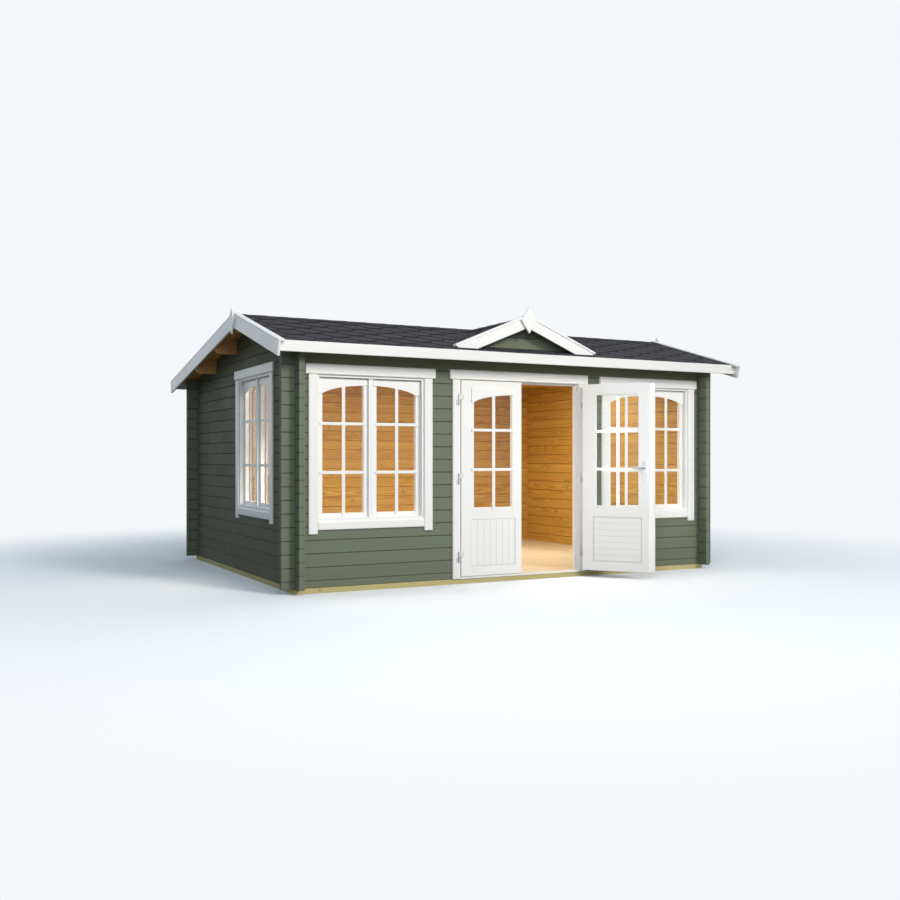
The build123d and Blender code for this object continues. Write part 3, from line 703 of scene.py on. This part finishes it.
def leaf_material(name, turned_back):
    """White lacquer with painted shade in the panel joints and along the panel's edge, counted
    from the hinge edge.
    """
    material, shader, closed = start_material(name, satin_roughness)
    if turned_back:
        mapping = new_node("Mapping")
        from_hinge = vectors("SUBTRACT", closed, hinge_place)
        feed(mapping, Vector=from_hinge, Rotation=(0, 0, -right_open))
        closed = vectors("ADD", mapping.outputs[0], hinge_place)
    x, y, z = split(closed)
    from_edge = minus(leaf_edge_x, size_of(x))
    in_panel = times(band(from_edge, panel_x0 - 0.002, panel_x1 + 0.002),
                     band(z, panel_z0 - 0.002, panel_z1 + 0.002))
    upright = to_joint(from_edge, panel_x0, panel_x1)
    level = to_joint(z, panel_z0, panel_z1)
    outer = maths("LESS_THAN", y, leaf_face_y + 0.02)
    inner = minus(1.0, outer)
    to_rim = maths("MINIMUM", to_sides(from_edge, panel_x0, panel_x1),
                   to_sides(z, panel_z0, panel_z1))
    # Painted shade in the corner between panel and frame, and a wider band of it inside the
    # panel's edge on the inner face.
    rim_shade = ramp(to_rim, 0.0008, 0.0034, 0.55, 0.0)
    recess_shade = ramp(to_rim, 0.004, 0.016, 0.24, 0.0)
    # Painted shade along the V joints between the panel's boards.
    outer_joint_shade = times(ramp(upright, 0.0006, 0.0028, 0.42, 0.0), outer)
    inner_joint_shade = maths("MAXIMUM", ramp(level, 0.0006, 0.0028, 0.30, 0.0), recess_shade)
    lines = maths("MAXIMUM", outer_joint_shade, times(inner_joint_shade, inner))
    # The joint mask gathers all this painted shade, within the panel.
    joint = times(maths("MAXIMUM", rim_shade, lines), in_panel)
    paint = use_group(brushed_paint, Vector=along(closed, "Z"), Paint=white, Variation=0.05)
    painted_shade_grey = (0.20, 0.19, 0.175, 1)
    satin_finish(shader, paint, mix(joint, paint["Color"], painted_shade_grey))
    return material


left_leaf_white = leaf_material("left_leaf_white", False)
right_leaf_white = leaf_material("right_leaf_white", True)
print("leaf finishes ready")

# %% [markdown]
# ## Metal
# Hinges are dull zinc, the handle is brushed aluminium. Both carry fine upright scratches, which
# show as small changes of roughness. The hinge plates were lacquered with the door, so only the
# knuckle is bare: the distance from the pin decides.

# %% Metal material
scratch_density = (260.0, 260.0, 18.0)


def metal_material(name, colour, roughness):
    """Brushed metal, with upright scratches."""
    material, shader, place = start_material(name, roughness, metallic=1.0)
    scratches = noise(vectors("MULTIPLY", place, scratch_density), 1.0, 4.0)
    dull = ramp(noise(place, 22.0, 3.0), 0.3, 0.75, 0.0, 0.35)
    feed(shader, Base_Color=mix(dull, colour, (0.42, 0.42, 0.43, 1)),
         Roughness=times_plus(scratches, 0.22, roughness - 0.11),
         Normal=bump(scratches, 0.12, 0.0002))
    return material


handle_aluminium = metal_material("handle_aluminium", (0.80, 0.80, 0.83, 1), 0.34)
hinge_zinc = metal_material("hinge_zinc", (0.60, 0.60, 0.61, 1), 0.42)
bench.tree = hinge_zinc.node_tree
shader = bench.tree.nodes["Principled BSDF"]
place = new_node("TexCoord").outputs["Object"]
x, y, z = split(place)
beside = minus(size_of(x), hinge_place[0])
before = minus(y, hinge_place[1])
from_pin = vectors("LENGTH", combine(beside, before, 0.0))
lacquered = ramp(from_pin, 0.0140, 0.0150)
bare_metal = shader.inputs["Base Color"].links[0].from_socket
feed(shader, Base_Color=mix(lacquered, bare_metal, (0.68, 0.67, 0.65, 1)),
     Metallic=minus(1.0, lacquered))
print("metals ready")

# %% [markdown]
# ## Softened copies
# A planed and painted board never ends in a razor edge. For each piece of joinery the CAD mesh
# is copied, its loose triangles are merged into clean faces, and a small bevel is applied. The
# copy stands for the CAD node and stays exactly where the node is.

# %% Soften a node
def soften(node, material, body, width):
    """Copy of a CAD node with merged faces and eased edges."""
    source = frame["nodes"][node]
    take(source)
    bpy.ops.object.duplicate()
    obj = bpy.context.object
    obj.name = obj.data.name = node + "_eased"
    obj.hide_render = False
    slot = next(part["material_slot"] for part in frame["record"]["subparts"]
                if part["node"] == node)
    pick(obj)
    bpy.ops.mesh.remove_doubles(threshold=0.00001)
    bpy.ops.mesh.dissolve_limited(angle_limit=math.radians(0.5))
    bpy.ops.mesh.normals_make_consistent(inside=False)
    leave()
    round_edges(obj, width)
    dress(obj, material, body, slot, node)
    return obj


joinery = [
    (white_eave_painted_shade, "cabin", 0.003, ["eave_fascias"]),
    (white_y, "cabin", 0.003, ["left_barge_boards", "right_barge_boards"]),
    (white_x, "cabin", 0.003, ["cross_barge_boards"]),
    (white_z, "cabin", 0.003, ["gable_finials"]),
    (white_x, "cabin", 0.002, ["front_windows_casing"]),
    (white_z, "cabin", 0.0015, ["front_windows_frame"]),
    (white_z, "cabin", 0.002, ["front_windows_sashes"]),
    (white_y, "cabin", 0.002, ["side_window_casing"]),
    (white_z, "cabin", 0.0015, ["side_window_frame"]),
    (white_z, "cabin", 0.002, ["side_window_sashes", "door_casing"]),
    (white_z, "cabin", 0.0015, ["door_frame"]),
    (left_leaf_white, "left_leaf", 0.0015, ["left_door_leaf"]),
    (white_z, "left_leaf", 0.002, ["left_door_bars"]),
    (right_leaf_white, "right_leaf", 0.0015, ["right_door_leaf"]),
    (white_z, "right_leaf", 0.002, ["right_door_bars"]),
    (purlin_pine, "cabin", 0.003, ["purlins"]),
    (beam_wood, "cabin", 0.003, ["foundation_beams"]),
    (hinge_zinc, "cabin", 0.0008, ["casing_hinges"]),
    (hinge_zinc, "left_leaf", 0.0008, ["left_leaf_hinges"]),
    (hinge_zinc, "right_leaf", 0.0008, ["right_leaf_hinges"]),
]
for material, body, width, nodes in joinery:
    for node in nodes:
        piece = soften(node, material, body, width)
        print(piece.name, len(piece.data.polygons), "faces")

# %% [markdown]
# ## Glass
# Clear float glass: a plain transmissive shader. Shadow rays pass straight through it, so the
# room behind the panes is lit.

# %% Glass material
def glass_material(name):
    """Clear pane that lets lamp light through."""
    material, shader, place = start_material(name, 0.0)
    smears = ramp(noise(place, 3.0, 4.0), 0.35, 0.75, 0.0, 0.02)
    feed(shader, Base_Color=(0.96, 0.98, 0.97, 1), Transmission_Weight=1.0, IOR=1.33,
         Roughness=smears)
    clear = new_node("BsdfTransparent")
    rays = new_node("LightPath")
    mix_shaders(rays.outputs["Is Shadow Ray"], shader.outputs[0], clear.outputs[0])
    return material


paint_nodes(glass_material("pane_glass"), "front_windows_glass", "side_window_glass",
            "left_door_glass", "right_door_glass")

# %% [markdown]
# ## Roof boards
# The roof is boarded with narrow planks that run from the ridge to the eave. Their V joints
# show from below. One plank is a box with its two lower long edges bevelled, then a row of
# copies, laid on the slope and cut plumb at both ends.

# %% Roof geometry
front_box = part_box("front_shingles")
ridge_y = front_box[1][1] + 0.0003
front_pitch = math.radians(16.1)
rear_pitch = math.radians(10.0)
cross_pitch = math.radians(22.5)
roof_half = front_box[1][0]
board_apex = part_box("front_roof_boards")[1][2]
front_eave = front_box[0][1]
rear_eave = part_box("rear_shingles")[1][1]
plank_thickness = 0.018
print("ridge at", round(ridge_y, 4), round(board_apex, 4))


def slope_matrix(turn, pitch, origin):
    """Puts a sheet drawn flat, with its lower edge on local X and local Y uphill, on a slope."""
    turned = Matrix.Rotation(turn, 4, "Z") @ Matrix.Rotation(pitch, 4, "X")
    return Matrix.Translation(origin) @ turned


def plank_field(name, matrix, half_length, run, cuts):
    """Row of planks, top face at local z = 0, trimmed by planes."""
    plank = block(name, (-half_length, -0.05, -plank_thickness),
                  (plank_width - half_length, run + 0.05, 0))
    pick(plank, "EDGE", lambda edge: span(edge, 0) < 1e-5 and span(edge, 2) < 1e-5
         and middle_of(edge).z < -plank_thickness / 2)
    bpy.ops.mesh.bevel(offset=0.004, segments=1)
    leave()
    repeat(plank, math.ceil(2 * half_length / plank_width), (plank_width, 0, 0))
    move_by(plank, matrix)
    for point, normal in cuts:
        cut(plank, point, normal)
    return plank


left_end, right_end = Vector((-roof_half, 0, 0)), Vector((roof_half, 0, 0))
ridge_point = Vector((0, ridge_y, 0))


def main_slope(front, height):
    """Matrix and trimming planes of one main slope whose surface peaks at height."""
    pitch = front_pitch if front else rear_pitch
    eave = front_eave if front else rear_eave
    drop = abs(ridge_y - eave) * math.tan(pitch)
    origin = Vector((0, eave, height - drop))
    matrix = slope_matrix(0 if front else math.pi, pitch, origin)
    run = abs(ridge_y - eave) / math.cos(pitch)
    way = 1 if front else -1
    cuts = [(ridge_point, (0, way, 0)), (Vector((0, eave, 0)), (0, -way, 0)),
            (left_end, (-1, 0, 0)), (right_end, (1, 0, 0))]
    return matrix, run, cuts


for front, node in ((True, "front_roof_boards"), (False, "rear_roof_boards")):
    matrix, run, cuts = main_slope(front, board_apex)
    planks = plank_field(node + "_planks", matrix, roof_half, run, cuts)
    dress(planks, roof_pine, "cabin", "bare_pine", node)
    print(planks.name, len(planks.data.polygons))

# %% [markdown]
# ## Shingles
# The roof covering is six-sided felt shingles. Unfolding the roof in the photograph gives their
# pitch: 400 mm along the eave and 127.5 mm up the slope from row to row, with a lower edge of
# 138 mm. The UV map of a shingle holds metres on it and steps on by one per copy, so the
# material knows where on which shingle it is. It darkens the cut edges, and the strips that lie
# in the shade of the shingles above.

# %% Shingle material
tab_pitch = 0.400
tab_flat = 0.0690
tab_half = tab_pitch / 2 - tab_flat
row_step = 0.1275 / math.cos(front_pitch)
tab_height = 2 * row_step
slant_length = math.hypot(row_step, tab_half - tab_flat)
tab_thickness = 0.0035
tab_lift, tab_drop = 0.0070, 0.0065
sheet_thickness = 0.0006
uv_start, odd_columns = 0.1, 50
plain_spot = (0, 0.2)


def slant_distance(u, v):
    """Distance inwards from the slanted side that starts at the flat edge at v = 0."""
    over = times(minus(u, tab_flat), row_step / slant_length)
    return minus(times(v, (tab_half - tab_flat) / slant_length), over)


felt, shader, place = start_material("shingle_felt", 0.94, specular=0.10)
own = new_node("UVMap")
own.uv_map = "tab"
u, v = split(own.outputs[0])[:2]
column = maths("ROUND", u)
row = maths("FLOOR", v)
from_middle = minus(u, column)
# The dark cut edges along the slants and the painted shade under them are strong on one side of
# each shingle and weak on the other.
lower_slant = ramp(from_middle, -0.01, 0.01, 0.10, 1.0)
upper_slant = ramp(from_middle, -0.01, 0.01, 1.0, 0.10)
u = size_of(from_middle)
v = minus(maths("FRACT", v), uv_start)
to_top = minus(tab_height, v)
flat_edge = ramp(v, 0.0006, 0.0060, 0.92, 0.0)
slant_edge = ramp(slant_distance(u, v), 0.0006, 0.0040, 0.70, 0.0)
slant_edge = times(slant_edge, lower_slant)
# Painted shade on the strips under the lower edges of the shingles above.
under_flat = ramp(to_top, 0.010, 0.040, 0.88, 0.0)
under_slant = ramp(slant_distance(u, to_top), 0.002, 0.016, 0.60, 0.0)
under_slant = times(under_slant, upper_slant)
shade = maths("MAXIMUM", maths("MAXIMUM", flat_edge, slant_edge),
              maths("MAXIMUM", under_flat, under_slant))
one_tab = new_node("TexWhiteNoise")
one_tab.noise_dimensions = "2D"
put(one_tab.inputs["Vector"], combine(column, row, 0.0))
grains = noise(place, 420.0, 2.0)
blotches = noise(place, 6.0, 4.0)
speck = ramp(grains, 0.3, 0.72)
slate = mix(speck, (0.034, 0.032, 0.037, 1), (0.095, 0.088, 0.100, 1))
slate = mix(times(one_tab.outputs["Value"], 0.38), slate, (0.040, 0.038, 0.044, 1))
slate = mix(ramp(blotches, 0.35, 0.7, 0.0, 0.30), slate, (0.086, 0.082, 0.089, 1))
slate = mix(shade, slate, (0.008, 0.008, 0.009, 1))
feed(shader, Base_Color=slate, Normal=bump(grains, 0.6, 0.0012))
print("felt ready")

# %% [markdown]
# ## Rows of shingles
# One shingle is a six-sided disc, stretched, given its thickness, and tilted so that its lower
# edge lies on the shingles below. Rows of copies, every other one shifted by half a pitch, fill
# the slope, and planes trim them at the ridge, the eave and the ends.

# %% Shingle slopes
def plain_uv(obj, value):
    """One UV value all over, in a map called tab."""
    for layer in list(obj.data.uv_layers):
        obj.data.uv_layers.remove(layer)
    layer = obj.data.uv_layers.new(name="tab")
    for corner in layer.data:
        corner.uv = value
    return layer


def tab_mesh(name):
    """One six-sided shingle, lower flat edge at y = 0, tilted on the shingles below."""
    tab = add_new(bpy.ops.mesh.primitive_circle_add, name, vertices=6, radius=1,
                  fill_type="NGON", rotation=(0, 0, math.pi / 6))
    tab.scale = (tab_half, row_step / math.cos(math.pi / 6), 1)
    tab.location = (0, row_step, 0)
    settle(tab)
    pick(tab, "EDGE", lambda edge: span(edge, 1) < 1e-5)
    bpy.ops.transform.resize(value=(2 * tab_flat / tab_half, 1, 1), center_override=(0, 0, 0))
    leave()
    pick(tab)
    bpy.ops.mesh.extrude_region_move(TRANSFORM_OT_translate={"value": (0, 0, -tab_thickness)})
    bpy.ops.mesh.select_all(action="SELECT")
    bpy.ops.mesh.normals_make_consistent(inside=False)
    leave()
    layer = plain_uv(tab, (0, 0))
    for loop in tab.data.loops:
        corner = tab.data.vertices[loop.vertex_index].co
        layer.data[loop.index].uv = (corner.x, corner.y + uv_start)
    tab.rotation_euler = (-math.atan(tab_drop / tab_height), 0, 0)
    tab.location = (0, 0, tab_lift)
    settle(tab)
    return tab


def shingle_field(name, matrix, half_length, run, cuts, first_x=0.21, first_y=0.05):
    """Shingles over a slope, on a thin felt sheet, trimmed by planes."""
    even = tab_mesh(name)
    columns = math.ceil(2 * half_length / tab_pitch) + 3
    rows = math.ceil(run / tab_height) + 2
    start = -math.ceil(half_length / tab_pitch + 1) * tab_pitch + first_x
    even.location = (start, first_y - tab_height, 0)
    settle(even)
    take(even)
    bpy.ops.object.duplicate()
    odd = bpy.context.object
    odd.location = (tab_pitch / 2, row_step, 0)
    settle(odd)
    for corner in odd.data.uv_layers["tab"].data:
        corner.uv.x += odd_columns
    tabs = join(name, [even, odd])
    repeat(tabs, columns, (tab_pitch, 0, 0), (1.0, 0.0))
    repeat(tabs, rows, (0, tab_height, 0), (0.0, 1.0))
    sheet = block(name + "_sheet", (-half_length, 0, 0), (half_length, run, sheet_thickness))
    plain_uv(sheet, plain_spot)
    tabs = join(name, [tabs, sheet])
    move_by(tabs, matrix)
    for point, normal in cuts:
        cut(tabs, point, normal)
    return tabs


covering = 0.005
shingle_base = front_box[1][2] - covering / math.cos(front_pitch)
fields = {}
for front, node in ((True, "front_shingles"), (False, "rear_shingles")):
    matrix, run, cuts = main_slope(front, shingle_base)
    fields[node] = [shingle_field(node + "_tabs", matrix, roof_half, run, cuts)]
    print(node, len(fields[node][0].data.polygons))

# %% [markdown]
# ## Roof of the small gable
# Its two slopes run back from the barge boards until they sink into the front slope. Each is
# another field of shingles, turned a quarter, and cut along the valley by the front slope's plane.

# %% Small gable roof
cross_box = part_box("cross_shingles")
cross_front = cross_box[0][1]
cross_half = cross_box[1][0]
cross_base = cross_box[1][2] - covering / math.cos(cross_pitch)
cross_length = ridge_y - cross_front
valley_point = Vector((0, ridge_y, front_box[1][2]))
valley_down = (0, math.sin(front_pitch), -math.cos(front_pitch))
cross_tabs = []
for side in (-1, 1):
    eave = cross_base - cross_half * math.tan(cross_pitch)
    origin = Vector((side * cross_half, cross_front + cross_length / 2, eave))
    matrix = slope_matrix(side * math.pi / 2, cross_pitch, origin)
    cuts = [((0, 0, 0), (-side, 0, 0)), ((0, cross_front, 0), (0, -1, 0)),
            ((side * cross_half, 0, 0), (side, 0, 0)), (valley_point, valley_down)]
    cross_tabs.append(shingle_field("cross_tabs", matrix, cross_length / 2,
                                    cross_half / math.cos(cross_pitch), cuts, 0.05, 0.03))
print("small gable shingles", sum(len(obj.data.polygons) for obj in cross_tabs))

# %% [markdown]
# ## Ridge caps
# Strips of felt are folded over each ridge, every strip lapping the one before. One cap is a flat
# sheet, cut along the fold, its two wings pressed down to the slopes, the fold rounded with a
# bevel and the sheet given its thickness. A row of copies covers the ridge.

# %% Ridge caps
cap_length, cap_step, cap_wing, cap_lift = 0.30, 0.20, 0.105, 0.0045


def ridge_caps(name, length, slope_near, slope_far):
    """Row of caps along local X from 0, fold at local y = 0, wings down by their slopes."""
    cap = add_new(bpy.ops.mesh.primitive_plane_add, name, size=1,
                  location=(cap_length / 2, 0, 0))
    cap.scale = (cap_length, 2 * cap_wing, 1)
    settle(cap)
    pick(cap)
    bpy.ops.mesh.bisect(plane_co=(0, 0, 0), plane_no=(0, 1, 0))
    leave()
    for way, slope in ((-1, slope_near), (1, slope_far)):
        pick(cap, "VERT", lambda corner: corner.co.y * way > 0.01)
        bpy.ops.transform.translate(value=(0, 0, -slope * cap_wing))
        leave()
    pick(cap, "EDGE", lambda edge: max(abs(corner.co.y) for corner in edge.verts) < 0.01)
    bpy.ops.mesh.bevel(offset=0.016, segments=3)
    leave()
    pick(cap, "VERT", lambda corner: corner.co.x > cap_length / 2)
    bpy.ops.transform.translate(value=(0, 0, cap_lift))
    leave()
    thick = cap.modifiers.new("felt", "SOLIDIFY")
    thick.thickness = tab_thickness
    thick.offset = 1
    finish_modifiers(cap)
    plain_uv(cap, plain_spot)
    repeat(cap, math.ceil(length / cap_step) + 2, (cap_step, 0, 0), (1.0, 0.0))
    cap.location = (-cap_step, 0, 0)
    settle(cap)
    return cap


cross_slope = math.tan(cross_pitch)
main_caps = ridge_caps("ridge_caps", 2 * roof_half, math.tan(front_pitch), math.tan(rear_pitch))
move_by(main_caps, Matrix.Translation((-roof_half, ridge_y, shingle_base + cap_lift)))
for point, normal in ((left_end, (-1, 0, 0)), (right_end, (1, 0, 0))):
    cut(main_caps, point, normal)
cross_caps = ridge_caps("cross_ridge_caps", cross_length, cross_slope, cross_slope)
move_by(cross_caps, Matrix.Translation((0, cross_front, cross_base + cap_lift))
        @ Matrix.Rotation(math.pi / 2, 4, "Z"))
cut(cross_caps, (0, cross_front, 0), (0, -1, 0))
cut(cross_caps, valley_point, valley_down)
fields["front_shingles"].append(main_caps)
fields["cross_shingles"] = cross_tabs + [cross_caps]
for node, pieces in fields.items():
    tabs = join(node + "_tabs", pieces)
    dress(tabs, felt, "cabin", "shingles", node)
    print(tabs.name, len(tabs.data.polygons))

# %% [markdown]
# ## Screws and hinge pins
# A pan head screw is a short cylinder with a sunk socket: one face is inset and pushed in. A
# hinge pin ends in a small dome, a short cylinder with a wide bevel at its free end.

# %% Screws and pins
hinge_x, hinge_y = hinge_place[:2]
hinge_levels = (0.24755, 0.9582, 1.67595)
swing = (Matrix.Translation(hinge_place) @ Matrix.Rotation(right_open, 4, "Z")
         @ Matrix.Translation(-Vector(hinge_place)))


def copies(name, obj, places):
    """Copies of a small mesh at several places, joined; the first one is used up."""
    made = []
    for place in places:
        take(obj)
        bpy.ops.object.duplicate()
        made.append(bpy.context.object)
        made[-1].location = place
        settle(made[-1])
    bpy.data.objects.remove(obj)
    return join(name, made)


def screw(radius=0.0042):
    """Pan head with a sunk socket, facing -Y, back at y = 0."""
    head = add_new(bpy.ops.mesh.primitive_cylinder_add, "screw", vertices=12, radius=radius,
                   depth=0.0018, location=(0, -0.0009, 0), rotation=(math.pi / 2, 0, 0))
    settle(head)
    pick(head, "FACE", lambda face: face.normal.y < -0.9)
    bpy.ops.mesh.inset(thickness=radius * 0.42, depth=0)
    bpy.ops.mesh.inset(thickness=radius * 0.08, depth=-0.001)
    leave()
    round_edges(head, 0.0004)
    return head


def pin_end():
    """Domed end of a hinge pin, standing on z = 0."""
    dome = add_new(bpy.ops.mesh.primitive_cylinder_add, "pin_end", vertices=12, radius=0.0052,
                   depth=0.006, location=(0, 0, 0.003))
    settle(dome)
    pick(dome, "EDGE", lambda edge: min(corner.co.z for corner in edge.verts) > 0.005)
    bpy.ops.mesh.bevel(offset=0.0035, segments=3)
    leave()
    take(dome)
    bpy.ops.object.shade_smooth_by_angle(angle=math.radians(40))
    return dome


plate_y = hinge_y + 0.004
casing_spots = [(side * (hinge_x + 0.014), plate_y, level + drop)
                for side in (-1, 1) for level in hinge_levels for drop in (-0.034, -0.012)]
leaf_spots = [(hinge_x - 0.040, plate_y, level + rise)
              for level in hinge_levels for rise in (0.012, 0.034)]
casing_screws = copies("casing_hinge_screws", screw(), casing_spots)
dress(casing_screws, hinge_zinc, "cabin", "hinge_metal")
left_screws = copies("left_leaf_hinge_screws", screw(), [(-x, y, z) for x, y, z in leaf_spots])
dress(left_screws, hinge_zinc, "left_leaf", "hinge_metal")
right_screws = copies("right_leaf_hinge_screws", screw(), leaf_spots)
move_by(right_screws, swing)
dress(right_screws, hinge_zinc, "right_leaf", "hinge_metal")
rows_of_ends = []
for turned, offset in ((0.0, 0.045), (math.pi, -0.045)):
    dome = pin_end()
    dome.rotation_euler = (turned, 0, 0)
    settle(dome)
    rows_of_ends.append(copies("hinge_pin_ends", dome, [
        (side * hinge_x, hinge_y, level + offset) for side in (-1, 1) for level in hinge_levels]))
pin_ends = join("hinge_pin_ends", rows_of_ends)
dress(pin_ends, hinge_zinc, "cabin", "hinge_metal")
print("screws and pins", len(casing_screws.data.polygons) + len(pin_ends.data.polygons))

# %% [markdown]
# ## Lever handle
# On each face of the right leaf there is a long back plate, a round collar, a neck and a lever
# that tapers a little to its rounded end. The lever is drawn out of a disc, step by step, each
# step a little smaller. All of it is modelled with the door closed and then swung open.

# %% Lever handle
handle_x, handle_z = 0.0445, 1.057
plate_middle = handle_z - 0.036


def rod(name, radius, start, end):
    """Cylinder along Y between two depths, at the handle's axis."""
    middle = (handle_x, (start + end) / 2, handle_z)
    obj = add_new(bpy.ops.mesh.primitive_cylinder_add, name, vertices=16, radius=radius,
                  depth=abs(end - start), location=middle, rotation=(math.pi / 2, 0, 0))
    settle(obj)
    return obj


def lever(depth, way):
    """Tapered lever from the neck towards the hinge side."""
    x = handle_x - 0.0085
    obj = add_new(bpy.ops.mesh.primitive_circle_add, "lever", vertices=16, radius=0.0088,
                  fill_type="NGON", location=(x, depth, handle_z), rotation=(0, math.pi / 2, 0))
    settle(obj)
    pick(obj)
    steps = ((0.020, 0.0, 1.0, 1.0), (0.030, -0.0010, 0.86, 1.02), (0.030, -0.0016, 0.88, 0.98),
             (0.030, -0.0022, 0.90, 0.94), (0.012, -0.0014, 0.86, 0.86), (0.004, 0.0, 0.62, 0.62))
    for dx, inward, thinner, slimmer in steps:
        x += dx
        depth += way * inward
        bpy.ops.mesh.extrude_region_move(TRANSFORM_OT_translate={"value": (dx, way * inward, 0)})
        bpy.ops.transform.resize(value=(1, thinner, slimmer), center_override=(x, depth, handle_z))
    bpy.ops.mesh.select_all(action="SELECT")
    bpy.ops.mesh.normals_make_consistent(inside=False)
    leave()
    return obj


def handle_side(face, way):
    """Back plate, collar, neck, lever, key cylinder and screws on one face of the leaf."""
    plate = block("plate", (handle_x - 0.020, min(face, face + way * 0.005), plate_middle - 0.1),
                  (handle_x + 0.020, max(face, face + way * 0.005), plate_middle + 0.1))
    pick(plate, "EDGE", lambda edge: span(edge, 1) > 0.004)
    bpy.ops.mesh.bevel(offset=0.0035, segments=3)
    leave()
    collar = rod("collar", 0.0135, face + way * 0.004, face + way * 0.011)
    neck = rod("neck", 0.0080, face + way * 0.010, face + way * 0.048)
    grip = lever(face + way * 0.047, way)
    key = rod("key", 0.0090, face + way * 0.004, face + way * 0.0075)
    pick(key, "FACE", lambda face: abs(face.normal.y) > 0.9 and face.normal.y * way > 0)
    bpy.ops.mesh.inset(thickness=0.0022, depth=-0.0010)
    leave()
    key.location = (0, 0, -0.072)
    settle(key)
    parts = [plate, collar, neck, grip, key]
    for part in parts:
        round_edges(part, 0.0012)
    heads = copies("heads", screw(0.0036), [(handle_x, 0, plate_middle + 0.086),
                                            (handle_x, 0, plate_middle - 0.086)])
    if way > 0:
        heads.rotation_euler = (0, 0, math.pi)
        heads.location = (2 * handle_x, 0, 0)
        settle(heads)
    heads.location = (0, face + way * 0.0049, 0)
    settle(heads)
    return parts + [heads]


outer_face = leaf_face_y - 0.0003
inner_face = leaf_face_y + 0.0403
handle_parts = handle_side(outer_face, -1) + handle_side(inner_face, 1)
latch_x = leaf_edge_x - 0.640
latch = block("latch", (latch_x - 0.0018, leaf_face_y + 0.011, plate_middle - 0.075),
              (latch_x - 0.0003, leaf_face_y + 0.029, plate_middle + 0.075))
pick(latch, "EDGE", lambda edge: span(edge, 0) > 0.001)
bpy.ops.mesh.bevel(offset=0.0085, segments=4)
leave()
bolt = block("bolt", (latch_x - 0.0045, leaf_face_y + 0.014, handle_z - 0.016),
             (latch_x - 0.0015, leaf_face_y + 0.026, handle_z + 0.012))
round_edges(latch, 0.0004)
round_edges(bolt, 0.0008)
handle_set = join("door_handle_set", handle_parts + [latch, bolt])
move_by(handle_set, swing)
dress(handle_set, handle_aluminium, "right_leaf", "handle_metal", "door_handle")
print("handle faces", len(handle_set.data.polygons))
